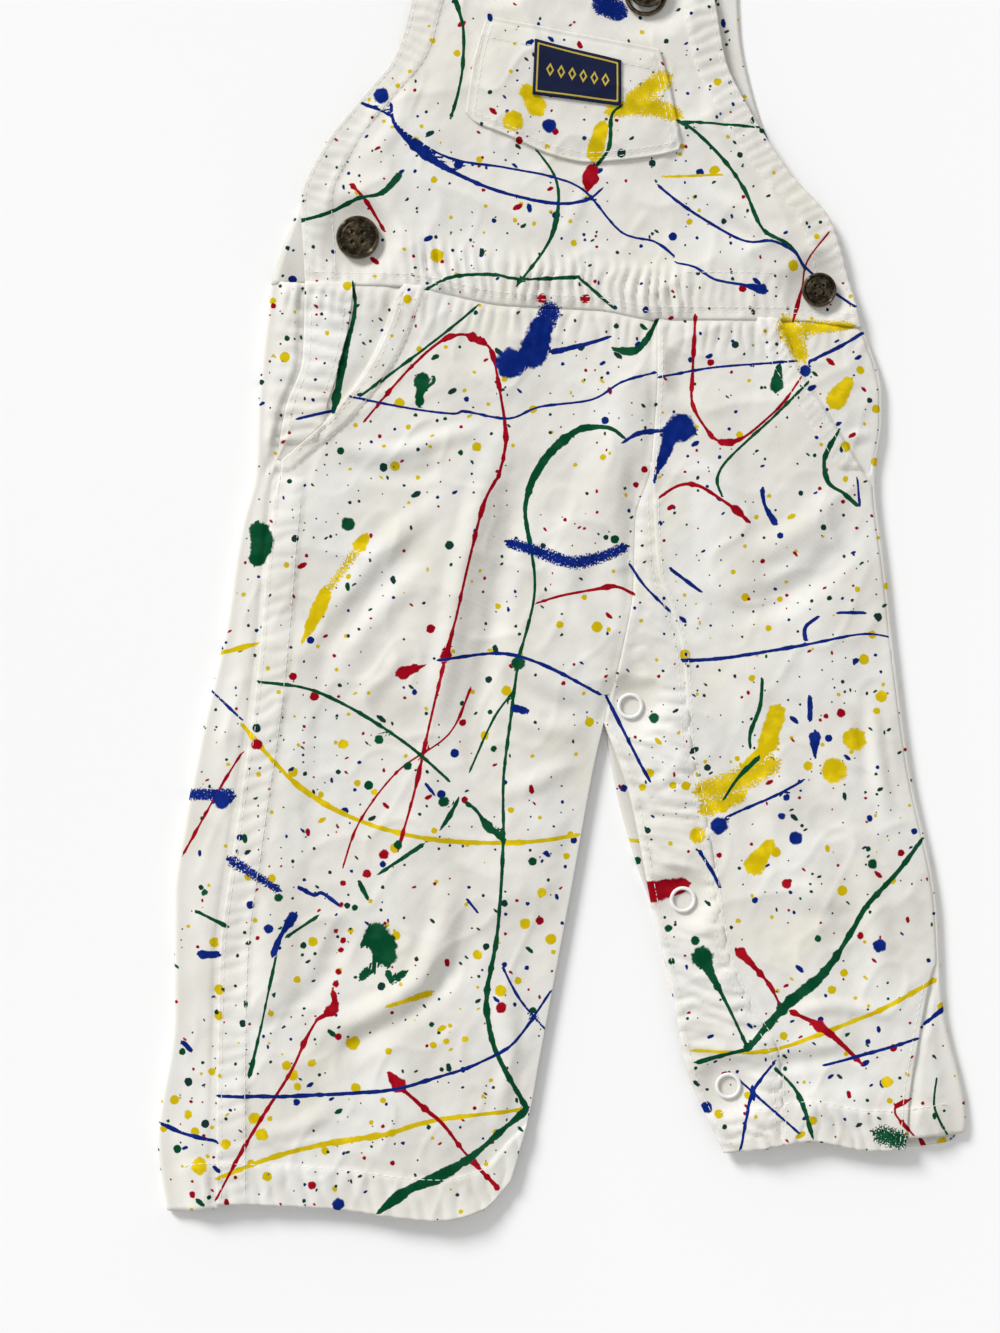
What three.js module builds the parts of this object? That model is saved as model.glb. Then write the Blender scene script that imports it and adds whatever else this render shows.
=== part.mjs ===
// A toddler's bib overalls of printed cotton twill, laid flat on their back, face up.
// Millimetres. +X is the wearer's left, +Y runs from the hems to the straps and +Z is up.
// The origin is under the middle of the garment, on the surface that it lies on.
// The back panels lie on that surface. The front panels lie on the back ones, edge to edge.
import * as THREE from "three";

// Cloth
const CLOTH = 1.2; // wall of every cloth piece
const GAP = 0.3; // between pieces that are sewn or laid together
const INSET = 0.2; // that a piece keeps from the middle of its seam
const LOFT = 0.7; // that the front rises above the back, in from the edges
const LOFT_WIDTH = 18; // from an edge to where the front has risen
const FRONT = CLOTH + GAP; // underside of the front at an edge
const FRONT_TOP = FRONT + LOFT + CLOTH; // top of the front in from its edges
const FOLD = (FRONT + CLOTH) / 2; // outer radius of the side folds

// Rows of points down the legs, the same on every piece, so that seams meet
const UPPER_ROWS = 10; // waist seam to crotch
const LOWER_ROWS = 12; // crotch to hems
const HEM_Y = -284; // lowest row of the inner edges
const PLACKET_ROW = 4; // where the snap placket starts in the centre front seam
const POCKET_ROW = 3; // where the pocket mouths end
const BIB_ROWS = 10;
const CROTCH_Y = -92;
const POCKET_Y = 25; // just below the row where the pocket mouths end
const PLACKET_Y = 15; // just above the row where the placket starts
const ABOVE_CROTCH_Y = CROTCH_Y + 1; // between the crotch row and the one above it

// Hard pieces
const SIDE_BUTTON_R = 9;
const SMALL_BUTTON_R = 7.2;
const BIB_BUTTON_R = 8;
const BUTTON_HEIGHT = 2.6;
const SNAP_R = 5.5;
const SNAP_HOLE_R = 3.3;
const SNAP_HEIGHT = 1.1;
const BUCKLE = 1.8; // thickness of the buckle plate
const STRAP_WIDTH = 26;
const TILT = -0.198; // turn of the bib and straps, radians

// Materials
const twill = { color: 0xe6e3d9, roughness: 0.9, metalness: 0 };
const navy = { color: 0x16264f, roughness: 0.85, metalness: 0 };
const bronze = { color: 0x3a3024, roughness: 0.45, metalness: 0.9 };
const white = { color: 0xf1f0ec, roughness: 0.4, metalness: 0 };

const group = new THREE.Group();

function add(name, geometry, look) {
  const mesh = new THREE.Mesh(geometry, new THREE.MeshStandardMaterial(look));
  mesh.name = name;
  group.add(mesh);
  return mesh;
}

const mix = (a, b, t) => a + (b - a) * t;
const clamp = (t) => Math.min(1, Math.max(0, t));

// A smooth curve through points, read as the second number of a point from the first.
// Its slopes are limited, so it never swings past a point.
function curve(points) {
  const p = [...points].sort((a, b) => a[0] - b[0]);
  const rise = p.slice(1).map((q, i) => (q[1] - p[i][1]) / (q[0] - p[i][0]));
  const slope = p.map((_, i) => {
    const before = rise[Math.max(0, i - 1)];
    const after = rise[Math.min(rise.length - 1, i)];
    return before * after <= 0 ? 0 : (2 * before * after) / (before + after);
  });
  return (at) => {
    let i = p.findIndex((q) => q[0] > at) - 1;
    if (i < 0) i = at < p[0][0] ? 0 : p.length - 2;
    const step = p[i + 1][0] - p[i][0];
    const t = (at - p[i][0]) / step;
    if (t < 0) return p[i][1] + slope[i] * (at - p[i][0]);
    if (t > 1) return p[i + 1][1] + slope[i + 1] * (at - p[i + 1][0]);
    const ease = t * t * (3 - 2 * t);
    const pull = (1 - t) * (1 - t) * t * slope[i] - t * t * (1 - t) * slope[i + 1];
    return mix(p[i][1], p[i + 1][1], ease) + pull * step;
  };
}

// Edges that run down the garment are written [x, y] and read as x from y.
const down = (points) => curve(points.map(([x, y]) => [y, x]));
const moved = (edge, by) => (y) => edge(y) + by;

const bibLeft = down([
  [-51, 249], [-62, 212], [-69, 188], [-84, 169],
  [-99, 150], [-109, 126], [-108, 109], [-107, 91],
]);
const bibRight = down([
  [60, 226], [64, 212], [69, 185], [77, 168],
  [96, 138], [113, 118], [121, 92], [126, 73],
]);
const backBibLeft = down([
  [-44, 282], [-50, 237], [-59, 203], [-74, 178], [-93, 149], [-113, 117], [-122, 89],
]);
const backBibRight = down([
  [66, 260], [73, 237], [75, 198], [81, 169], [92, 143], [113, 118], [127, 71],
]);
const outlineLeft = down([
  [-122, 89], [-127, 41], [-128, 14], [-134, -10], [-141, -55], [-150, -94],
  [-158, -136], [-162, -164], [-162, -212], [-169, -267], [-165, -297],
]);
const outlineRight = down([
  [127, 73], [135, 45], [135, 34], [132, 12], [136, -26], [146, -108],
  [158, -170], [160, -208], [170, -260], [169, -264],
]);
const sideEdgeRight = down([
  [-107, 91], [-108, 60], [-115, 40], [-119, 18],
]);
const placketLine = down([[-86, 91], [-90, 65], [-99, 36]]);
const mouthRight = down([[-66, 90], [-77, 62], [-97, 35], [-117, 18]]);
const sideSeamRight = down([
  [-119, 18], [-123, -23], [-127, -71], [-137, -144],
  [-143, -192], [-144, -247], [-144, -293],
]);
const mouthLeft = down([[91, 76], [97, 59], [107, 43], [118, 26], [129, 9]]);
const sideSeamLeft = down([[156, -194], [150, -223], [146, -246], [144, -269]]);
const centreFront = down([[40, 76], [40, 54], [37, 9]]);
const innerRight = down([
  [36, 9], [31, -7], [30, -36], [26, -59], [18, -92],
  [14, -109], [5, -158], [-9, -233], [-13, -255], [-21, -284],
]);
const placketInner = down([
  [38, 9], [40, -27], [46, -45], [51, -65], [53, -99],
  [60, -135], [69, -189], [77, -208], [90, -233], [92, -267],
]);
const placketOuter = down([
  [18, -92], [29, -124], [38, -169], [47, -208], [52, -235], [68, -272],
]);
const backPlacketOuter = down([
  [18, -92], [20, -102], [23, -119], [32, -152], [38, -169], [55, -235], [70, -271],
]);
const centreBack = down([[16, 80], [17, CROTCH_Y]]);

// Edges that run across the garment are read as y from x.
const bibTop = curve([[-51, 249], [60, 226]]);
const backBibTop = curve([[-44, 282], [66, 260]]);
const waist = curve([
  [-107, 91], [-67, 90], [-23, 82], [16, 80], [40, 76], [91, 76], [127, 73],
]);
const waistUp = (x) => waist(x) + INSET;
const crotch = () => CROTCH_Y;
const hemRight = curve([
  [-165, -297], [-150, -293], [-99, -295], [-51, -300], [-33, -296], [-21, -284],
]);
const hemLeft = curve([
  [68, -272], [85, -270], [104, -267], [130, -271], [162, -268], [168, -263],
]);

// The largest folds of the fronts: a ridge from one point to another, [x, y, x, y, height, width].
const FOLDS = [
  [-112, -60, -122, -205, 1.6, 14],
  [-40, 20, -62, -80, 1.3, 16],
  [34, 52, 2, -30, 1.5, 13],
  [60, 40, 74, -40, 1.4, 14],
  [104, -150, 112, -225, 1.3, 15],
  [-60, -140, -72, -262, 1.4, 18],
];

function nearest(x, y, ax, ay, bx, by) {
  const t = clamp(((x - ax) * (bx - ax) + (y - ay) * (by - ay)) / ((bx - ax) ** 2 + (by - ay) ** 2));
  return Math.hypot(x - mix(ax, bx, t), y - mix(ay, by, t));
}

// How far a point is inside the silhouette, up to LOFT_WIDTH.
function depth(x, y) {
  const left = y > 91 ? bibLeft(y) : outlineLeft(y);
  const right = y > 73 ? bibRight(y) : outlineRight(y);
  let least = Math.min(x - left, right - x, LOFT_WIDTH);
  for (let row = 0; row < LOWER_ROWS; row++) {
    const top = mix(CROTCH_Y, HEM_Y, row / LOWER_ROWS);
    const low = mix(CROTCH_Y, HEM_Y, (row + 1) / LOWER_ROWS);
    for (const edge of [innerRight, placketOuter]) {
      least = Math.min(least, nearest(x, y, edge(top), top, edge(low), low));
    }
  }
  return Math.max(0, least);
}

// Height of the underside of the front cloth.
function under(x, y) {
  let height = FRONT + (LOFT * depth(x, y)) / LOFT_WIDTH;
  for (const [ax, ay, bx, by, high, wide] of FOLDS) {
    const off = nearest(x, y, ax, ay, bx, by) / wide;
    if (off < 1) height += high * (1 - off * off) ** 2;
  }
  return height;
}

const UP = new THREE.Vector3(0, 0, 1);

// A closed sheet of cloth over a grid of points. Each point is on the sheet's inner side,
// and its out vector leads to the outer side.
function sheet(points) {
  const [first, second] = points[0];
  const acrossRow = second.point.clone().sub(first.point);
  const nextRow = points[1][0].point.clone().sub(first.point);
  const turned = acrossRow.cross(nextRow).dot(first.out) > 0;
  const grid = turned ? points.map((row) => [...row].reverse()) : points;
  const rows = grid.length;
  const columns = grid[0].length;
  const inner = grid.flat().map(({ point }) => point);
  const outer = grid.flat().map(({ point, out }) => point.clone().addScaledVector(out, CLOTH));
  const lift = rows * columns;
  const index = [];
  const quad = (a, b, c, d) => index.push(a, b, c, a, c, d);
  for (let i = 0; i + 1 < rows; i++) {
    for (let j = 0; j + 1 < columns; j++) {
      const a = i * columns + j;
      quad(a, a + 1, a + columns + 1, a + columns);
      quad(lift + a, lift + a + columns, lift + a + columns + 1, lift + a + 1);
    }
  }
  const rim = [];
  for (let j = 0; j + 1 < columns; j++) rim.push(j);
  for (let i = 0; i + 1 < rows; i++) rim.push(i * columns + columns - 1);
  for (let j = columns - 1; j > 0; j--) rim.push((rows - 1) * columns + j);
  for (let i = rows - 1; i > 0; i--) rim.push(i * columns);
  rim.forEach((a, k) => {
    const b = rim[(k + 1) % rim.length];
    quad(b, a, lift + a, lift + b);
  });
  const geometry = new THREE.BufferGeometry().setFromPoints([...inner, ...outer]);
  geometry.setIndex(index);
  const flat = geometry.toNonIndexed();
  flat.computeVertexNormals();
  return flat;
}

// The corner where an edge that runs down meets one that runs across.
function corner(side, across) {
  let y = across(0);
  for (let step = 0; step < 30; step++) y = across(side(y));
  return [side(y), y];
}

// Places between two side edges: rows from the top edge to the bottom one.
function rowPlaces(left, right, top, bottom, rows, columns) {
  const [topLeft, topRight] = [corner(left, top), corner(right, top)];
  const [lowLeft, lowRight] = [corner(left, bottom), corner(right, bottom)];
  return rows.map((s) => {
    const x0 = left(mix(topLeft[1], lowLeft[1], s));
    const x1 = right(mix(topRight[1], lowRight[1], s));
    return columns.map((u) => {
      const high = top(mix(topLeft[0], topRight[0], u));
      const low = bottom(mix(lowLeft[0], lowRight[0], u));
      return [mix(x0, x1, u), mix(high, low, s)];
    });
  });
}

const steps = (count, from = 0) => {
  const all = Array.from({ length: count + 1 }, (_, i) => i / count);
  return all.slice(from);
};

// A first row at the waist keeps its half of the seam's gap.
function belowWaist(places) {
  const first = places[0].map(([x, y]) => [x, y - INSET]);
  return [first, ...places.slice(1)];
}

// The rows of a leg piece, from a row of the upper part down to the hem.
function legPlaces(left, right, hem, columns, from = 0) {
  const upper = rowPlaces(left, right, waist, crotch, steps(UPPER_ROWS, from), columns);
  const lower = rowPlaces(left, right, crotch, hem, steps(LOWER_ROWS, 1), columns);
  return [...(from ? upper : belowWaist(upper)), ...lower];
}

// The rows of a bib piece. Its columns end at the same places of the waist seam as those of
// the pieces below it.
function bibPlaces(left, right, top, rows, below) {
  const ends = [corner(left, waist)[0], corner(right, waist)[0]];
  const width = ends[1] - ends[0];
  const inside = below.flatMap((places) => places[0].map(([x]) => (x - ends[0]) / width));
  const apart = 0.01;
  const sorted = [0, ...inside.sort((a, b) => a - b), 1];
  const clear = (u, i) => u - sorted[i - 1] > apart && u < 1 - apart;
  const columns = sorted.filter((u, i) => u === 0 || u === 1 || clear(u, i));
  return rowPlaces(left, right, top, waistUp, steps(rows), columns);
}

const onFront = (places) =>
  places.map((row) =>
    row.map(([x, y]) => ({ point: new THREE.Vector3(x, y, under(x, y)), out: UP })),
  );
const onFloor = (places) =>
  places.map((row) => row.map(([x, y]) => ({ point: new THREE.Vector3(x, y, 0), out: UP })));

// --- Front ---------------------------------------------------------------------------------

const OPENING_Y = 18; // lower end of the right side opening, where the side seam starts

// A right leg edge is the pocket mouth down to the side seam, then the side seam.
const mouthEnd = mouthRight(OPENING_Y);
const legRightSide = (y) => (y > OPENING_Y ? mouthRight(y) : Math.max(mouthEnd, sideSeamRight(y)));
const frontRightSide = (y) => (y > 0 ? legRightSide(y) : sideSeamRight(y)) + INSET;
const legRightInner = (y) => (y > PLACKET_Y ? centreFront(y) : innerRight(y)) - INSET;
const legLeftInner = (y) => (y > PLACKET_Y ? centreFront(y) : placketInner(y)) + INSET;
const SEAM_IN = 1.1; // from the left side fold to the seam beside it
const foldLeft = FOLD + SEAM_IN; // from the outline at the left hip to the front's edge
const SEAM_TURN_Y = -194; // below which the left side seam comes in from the fold
const MOUTH_END_Y = 8; // just below the row where the left pocket mouth ends
const seamAtFold = (y) => outlineRight(y) - foldLeft;
const legLeftSeam = (y) => (y < SEAM_TURN_Y ? Math.min(sideSeamLeft(y), seamAtFold(y)) : seamAtFold(y));
const frontLeftSide = (y) => (y > MOUTH_END_Y ? mouthLeft(y) : legLeftSeam(y)) - INSET;

const frontRight = legPlaces(frontRightSide, legRightInner, hemRight, steps(10));
add("front_leg_R", sheet(onFront(frontRight)), twill);

const frontLeft = legPlaces(legLeftInner, frontLeftSide, hemLeft, steps(7));
add("front_leg_L", sheet(onFront(frontLeft)), twill);

const placket = legPlaces(
  (y) => (y > ABOVE_CROTCH_Y ? innerRight(y) + INSET : placketOuter(y)),
  moved(placketInner, -INSET),
  hemLeft,
  steps(3),
  PLACKET_ROW,
);
add("inseam_placket_front_L", sheet(onFront(placket)), twill);

// Pieces at the hips share the rows of the leg beside them.
function hipPlaces(left, right, columns, lastRow) {
  return belowWaist(
    rowPlaces(left, right, waist, crotch, steps(UPPER_ROWS).slice(0, lastRow + 1), columns),
  );
}

const sidePlacketInner = (y) => (y > POCKET_Y ? placketLine(y) : mouthRight(y)) - INSET - GAP;
const sidePlacket = hipPlaces(sideEdgeRight, sidePlacketInner, steps(1), PLACKET_ROW);
const hipRight = hipPlaces(placketLine, moved(mouthRight, -INSET), steps(1), POCKET_ROW);
const hipLeft = hipPlaces(
  moved(mouthLeft, INSET),
  moved(outlineRight, -foldLeft),
  steps(2),
  PLACKET_ROW,
);
add("side_placket_R", sheet(onFront(sidePlacket)), twill);
add("hip_piece_R", sheet(onFront(hipRight)), twill);
add("hip_piece_L", sheet(onFront(hipLeft)), twill);

const belowBib = [sidePlacket, hipRight, frontRight, frontLeft, hipLeft];
add(
  "bib_front",
  sheet(onFront(bibPlaces(bibLeft, bibRight, bibTop, BIB_ROWS, belowBib))),
  twill,
);

// --- Back ----------------------------------------------------------------------------------

// A back leg lies on the floor from its inner edge out to the side fold, and comes back over
// the top to the side seam. way is -1 on the wearer's right and 1 on the left.
function backLeg(way, rows, seam) {
  const fold = [-45, 0, 45];
  const middle = CLOTH + GAP / 2;
  const flatOut = new THREE.Vector3(0, 0, -1);
  return sheet(
    rows.map((row) => {
      const [x, y] = row[row.length - 1];
      const back = seam(y) + way * INSET;
      const slope = (row[row.length - 1][1] - row[0][1]) / (x - row[0][0]);
      const floor = row.map(([px, py]) => ({ point: new THREE.Vector3(px, py, CLOTH), out: flatOut }));
      const round = fold.map((degrees) => {
        const angle = THREE.MathUtils.degToRad(degrees);
        const out = new THREE.Vector3(way * Math.cos(angle), 0, Math.sin(angle));
        const centre = new THREE.Vector3(x, y, middle);
        return { point: centre.addScaledVector(out, FOLD - CLOTH), out };
      });
      const over = [0, 0.5, 1].map((t) => {
        const px = mix(x, back, t);
        const py = y + slope * (px - x);
        return { point: new THREE.Vector3(px, py, under(px, py)), out: UP };
      });
      return [...floor, ...round, ...over];
    }),
  );
}

const LAP = 1.5; // that the back keeps inside the front at the inner edges
const SPLIT_Y = -70; // below which the left back leg leaves the centre back seam
const backRightInner = (y) => (y > ABOVE_CROTCH_Y ? centreBack(y) - INSET : innerRight(y) - LAP);
const BACK_PLACKET = 12; // width of the back half of the snap placket
const backPlacketInner = (y) => {
  const width = y > ABOVE_CROTCH_Y ? LAP : BACK_PLACKET;
  return Math.max(centreBack(Math.max(y, CROTCH_Y)), placketOuter(Math.min(y, CROTCH_Y))) + width;
};
const backLeftInner = (y) => (y > SPLIT_Y ? centreBack(y) + INSET : backPlacketInner(y));
const backRightSeam = (y) => (y > OPENING_Y ? sideEdgeRight(y) - GAP : sideSeamRight(y));

const backRight = legPlaces(backRightInner, moved(outlineLeft, FOLD), hemRight, steps(8));
const backLeft = legPlaces(backLeftInner, moved(outlineRight, -FOLD), hemLeft, steps(8));
add("back_leg_R", backLeg(-1, backRight, backRightSeam), twill);
add("back_leg_L", backLeg(1, backLeft, legLeftSeam), twill);
add(
  "back_bib",
  sheet(onFloor(bibPlaces(backBibLeft, backBibRight, backBibTop, BIB_ROWS, [backRight, backLeft]))),
  twill,
);

// The back half of the snap placket shows outside the front half, below the crotch.
const backPlacket = legPlaces(
  (y) => (y > ABOVE_CROTCH_Y ? centreBack(y) + INSET : backPlacketOuter(y)),
  moved(backPlacketInner, -GAP),
  hemLeft,
  steps(2),
  UPPER_ROWS - 1,
);
add("inseam_placket_back_L", sheet(onFloor(backPlacket)), twill);

// --- Bib pocket and label ------------------------------------------------------------------

function plate(outline, thickness, z) {
  const shape = new THREE.Shape(outline.map(([x, y]) => new THREE.Vector2(x, y)));
  const geometry = new THREE.ExtrudeGeometry(shape, { depth: thickness, bevelEnabled: false });
  return geometry.translate(0, 0, z);
}

const POCKET = [
  [-31, 203], [-36, 187], [-40, 165], [-37, 160], [-24, 154],
  [0, 144], [12, 142], [27, 143], [49, 147], [50, 150],
  [48, 163], [42, 187], [40, 189],
].reverse();
const LABEL = [[-11, 193], [-12, 170], [7, 169], [25, 165], [25, 184], [7, 190]];
const LABEL_THICKNESS = 0.8;
const pocketTop = FRONT_TOP + GAP + CLOTH;

add("bib_pocket", plate(POCKET, CLOTH, FRONT_TOP + GAP), twill);
add("chest_label", plate(LABEL, LABEL_THICKNESS, pocketTop + GAP), navy);

// --- Straps, buckles and buttons -------------------------------------------------------------

const BIB_BUTTONS = { R: [-27, 228], L: [36, 215] };
const STRAP_FOLD_Y = { R: 295, L: 289 };
const STRAP_START = { R: [-31, 280], L: [53, 263] }; // on the top edge of the back bib
const along = new THREE.Vector3(Math.sin(-TILT), Math.cos(TILT), 0); // up the straps
const across = new THREE.Vector3(Math.cos(TILT), Math.sin(TILT), 0);
const SLIDER_UP = 31; // from the button to the middle of the slider
const SLIDER = [32, 13];
const BAR = 3; // width of the slider's bars

// A strap runs up from the back, folds over at the shoulder and comes down to its slider.
function strap(side) {
  const [bx, by] = BIB_BUTTONS[side];
  const [sx, sy] = STRAP_START[side];
  const start = new THREE.Vector3(sx, sy, 0).addScaledVector(along, GAP);
  const run = (STRAP_FOLD_Y[side] - sy) / along.y;
  const top = start.clone().addScaledVector(along, run);
  const end = new THREE.Vector3(bx, by, 0).addScaledVector(along, SLIDER_UP - SLIDER[1] / 2);
  const middle = CLOTH + GAP / 2;
  const flatOut = new THREE.Vector3(0, 0, -1);
  const path = [0, 0.5, 1].map((t) => ({
    point: start.clone().lerp(top, t).setZ(CLOTH),
    out: flatOut,
  }));
  for (const degrees of [-45, 0, 45]) {
    const angle = THREE.MathUtils.degToRad(degrees);
    const out = along.clone().multiplyScalar(Math.cos(angle)).addScaledVector(UP, Math.sin(angle));
    path.push({ point: top.clone().setZ(middle).addScaledVector(out, FOLD - CLOTH), out });
  }
  for (const t of [0, 0.25, 0.5, 0.75, 1]) {
    path.push({ point: top.clone().lerp(end, t).setZ(FRONT + LOFT * t), out: UP });
  }
  const half = STRAP_WIDTH / 2;
  return sheet(
    path.map(({ point, out }) =>
      [half, 0, -half].map((off) => ({ point: point.clone().addScaledVector(across, off), out })),
    ),
  );
}

// The buckle is a plate: a slider frame with a middle bar, and a keyhole loop for the button.
function buckle() {
  const [wide, high] = SLIDER;
  const loopR = 9;
  const loopY = -2.5;
  const neck = 5; // half width where the loop meets the slider
  const shoulder = 10; // from the loop's middle up to where it starts to narrow
  const eyeR = 6.3; // of the keyhole
  const throat = 2.4; // half width of the keyhole's upper end
  const base = SLIDER_UP - high / 2;
  const shape = new THREE.Shape();
  shape.moveTo(-wide / 2, base);
  shape.lineTo(-neck, base);
  shape.lineTo(-neck, base - 6);
  shape.quadraticCurveTo(-loopR, loopY + shoulder, -loopR, loopY);
  shape.absarc(0, loopY, loopR, Math.PI, 2 * Math.PI, false);
  shape.quadraticCurveTo(loopR, loopY + shoulder, neck, base - 6);
  shape.lineTo(neck, base);
  shape.lineTo(wide / 2, base);
  shape.lineTo(wide / 2, base + high);
  shape.lineTo(-wide / 2, base + high);
  const key = new THREE.Path();
  key.moveTo(-throat, base - 7);
  key.quadraticCurveTo(-throat, loopY + 8, -eyeR, loopY);
  key.absarc(0, loopY, eyeR, Math.PI, 2 * Math.PI, false);
  key.quadraticCurveTo(throat, loopY + 8, throat, base - 7);
  shape.holes.push(key);
  const slot = (high - 3 * BAR) / 2;
  for (const low of [base + BAR, base + 2 * BAR + slot]) {
    const hole = new THREE.Path();
    hole.moveTo(-wide / 2 + BAR, low);
    hole.lineTo(-wide / 2 + BAR, low + slot);
    hole.lineTo(wide / 2 - BAR, low + slot);
    hole.lineTo(wide / 2 - BAR, low);
    shape.holes.push(hole);
  }
  return new THREE.ExtrudeGeometry(shape, { depth: BUCKLE, bevelEnabled: false, curveSegments: 6 });
}

// A metal button: a stem of the given length under a cap with a raised rim.
function button(radius, stem) {
  const stemR = 3;
  const rim = radius - 1.4; // inside of the raised rim
  const slant = 0.8; // of the rim's outer and inner sides
  const dish = 0.9; // depth of the middle at the rim
  const top = stem + BUTTON_HEIGHT;
  const profile = [
    [0, 0], [stemR, 0], [stemR, stem], [radius, stem], [radius, top - slant],
    [radius - slant, top], [rim, top], [rim - slant, top - dish], [0, top - dish],
  ].map(([r, z]) => new THREE.Vector2(r, z));
  return new THREE.LatheGeometry(profile, 20).rotateX(Math.PI / 2);
}

for (const side of ["R", "L"]) {
  const [x, y] = BIB_BUTTONS[side];
  add(`strap_${side}`, strap(side), twill);
  const plateMesh = add(`buckle_${side}`, buckle(), bronze);
  plateMesh.position.set(x, y, FRONT_TOP + GAP);
  plateMesh.rotation.z = TILT;
  const stud = add(`bib_button_${side}`, button(BIB_BUTTON_R, BUCKLE + GAP), bronze);
  stud.position.set(x, y, FRONT_TOP + GAP);
}

const STEM = 0.8; // of the side buttons, above the cloth
const sideButtonR = add("side_button_R", button(SIDE_BUTTON_R, STEM), bronze);
sideButtonR.position.set(-85, 111, FRONT_TOP + GAP);
const sideButtonL = add("side_button_L", button(SMALL_BUTTON_R, STEM), bronze);
sideButtonL.position.set(108, 89, FRONT_TOP + GAP);

// --- Ring snaps on the placket ---------------------------------------------------------------

const SNAPS = [[29, -85], [51, -166], [70, -244]];
const ringProfile = [
  [SNAP_HOLE_R, 0], [SNAP_R, 0], [SNAP_R, SNAP_HEIGHT * 0.5], [SNAP_R - 0.7, SNAP_HEIGHT],
  [SNAP_HOLE_R + 0.5, SNAP_HEIGHT], [SNAP_HOLE_R, SNAP_HEIGHT * 0.6], [SNAP_HOLE_R, 0],
].map(([r, z]) => new THREE.Vector2(r, z));

SNAPS.forEach(([x, y], i) => {
  const ring = new THREE.LatheGeometry(ringProfile, 18).rotateX(Math.PI / 2);
  const mesh = add(`ring_snap_${i + 1}`, ring, white);
  const slope = (LOFT / LOFT_WIDTH) * SNAP_R;
  mesh.position.set(x, y, under(x, y) + CLOTH + slope + GAP);
});

export default group;
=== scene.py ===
import math

import bpy
import numpy as np
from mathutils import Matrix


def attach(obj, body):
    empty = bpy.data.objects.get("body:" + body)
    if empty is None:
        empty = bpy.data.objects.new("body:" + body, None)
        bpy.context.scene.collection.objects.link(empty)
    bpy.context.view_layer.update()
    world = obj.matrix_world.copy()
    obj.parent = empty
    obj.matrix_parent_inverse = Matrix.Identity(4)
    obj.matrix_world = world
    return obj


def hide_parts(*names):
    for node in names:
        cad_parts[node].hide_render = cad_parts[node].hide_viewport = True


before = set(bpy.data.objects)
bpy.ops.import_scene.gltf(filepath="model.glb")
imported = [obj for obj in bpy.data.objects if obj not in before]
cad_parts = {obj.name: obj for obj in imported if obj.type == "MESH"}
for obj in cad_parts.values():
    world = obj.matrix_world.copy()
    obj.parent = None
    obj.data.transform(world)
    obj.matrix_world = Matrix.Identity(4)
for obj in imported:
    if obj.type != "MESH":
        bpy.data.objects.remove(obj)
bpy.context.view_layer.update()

MM = 0.001

# Sizes and places of the frame
CLOTH = 1.2
GAP = 0.3  # between pieces
LOFT = 0.7  # that the front rises over the first LOFT_WIDTH from its edges
LOFT_WIDTH = 18
FRONT = CLOTH + GAP
FRONT_TOP = FRONT + LOFT + CLOTH
SIDE_TOP_R, SIDE_TOP_L = 91, 73  # y where the waist seam meets the sides
CROTCH_Y = -92
ABOVE_CROTCH_Y = CROTCH_Y + 1
HEM_Y = -284  # lowest row of the inner edges
PLACKET_Y = 15  # below which the snap placket takes the place of the centre front
POCKET_Y = 25  # above which the side placket lies beside the hip piece
OPENING_Y = 18  # lower end of the right side opening
MOUTH_END_Y = 8  # just below where the left pocket mouth ends
SEAM_TURN_Y = -194  # below which the left side seam comes in from the fold
SPLIT_Y = -70  # below which the left back leg leaves the centre back seam
TILT = -0.198  # of the straps, in radians

# How far pieces reach, as parts of the way from waist to crotch
HIP_END = 0.4  # where the side placket and the left hip piece end
POCKET_END = 0.315  # where the right hip piece ends
PLACKET_TOP = 0.365  # where the snap placket's cloth starts
BACK_PLACKET_TOP = 0.9

# Cloth, as it looks
THICK = 1.05
INSET = 0.12  # of each piece's edge from its seam
RAISE = 1.5  # that the front lies higher than in the frame, away from what is fastened to it
FOLD = (FRONT + RAISE + THICK) / 2  # outer radius of the side folds
HEM = 17
BAND = 13  # width of the felled seams and armhole bands


# --- Camera ----------------------------------------------------------------------------------

def make_camera():
    view_centre = (-25.5, -68.5)
    view_height = 560
    distance = 1150
    data = bpy.data.cameras.new("camera")
    data.sensor_width = 36
    data.lens = data.sensor_width * distance / view_height
    camera = bpy.data.objects.new("camera", data)
    camera.location = (view_centre[0] * MM, view_centre[1] * MM, distance * MM)
    bpy.context.scene.collection.objects.link(camera)
    bpy.context.scene.camera = camera


make_camera()


# --- Curves and edges ------------------------------------------------------------------------

def mix(a, b, t):
    return a + (b - a) * t


def smooth(value, low, high):
    """0 below low, 1 above high, and a soft step between them. low may be the larger."""
    t = np.clip((value - low) / (high - low), 0, 1)
    return t * t * (3 - 2 * t)


def curve(points):
    """A smooth curve that never swings past a point, read as y from x."""
    p = np.array(sorted(points), float)
    rise = np.diff(p[:, 1]) / np.diff(p[:, 0])
    before = np.concatenate([rise[:1], rise])
    after = np.concatenate([rise, rise[-1:]])
    total = np.where(before + after == 0, 1, before + after)
    slope = np.where(before * after <= 0, 0, 2 * before * after / total)

    def read(at):
        at = np.asarray(at, float)
        i = np.clip(np.searchsorted(p[:, 0], at, side="right") - 1, 0, len(p) - 2)
        step = p[i + 1, 0] - p[i, 0]
        t = (at - p[i, 0]) / step
        u = np.clip(t, 0, 1)
        pull = (1 - u) ** 2 * u * slope[i] - u * u * (1 - u) * slope[i + 1]
        inside = mix(p[i, 1], p[i + 1, 1], u * u * (3 - 2 * u)) + pull * step
        return inside + np.minimum(t, 0) * step * slope[i] + np.maximum(t - 1, 0) * step * slope[i + 1]

    return read


def down(points):
    """An edge that runs down the garment: points x, y, read as x from y."""
    return curve([(y, x) for x, y in points])


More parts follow.
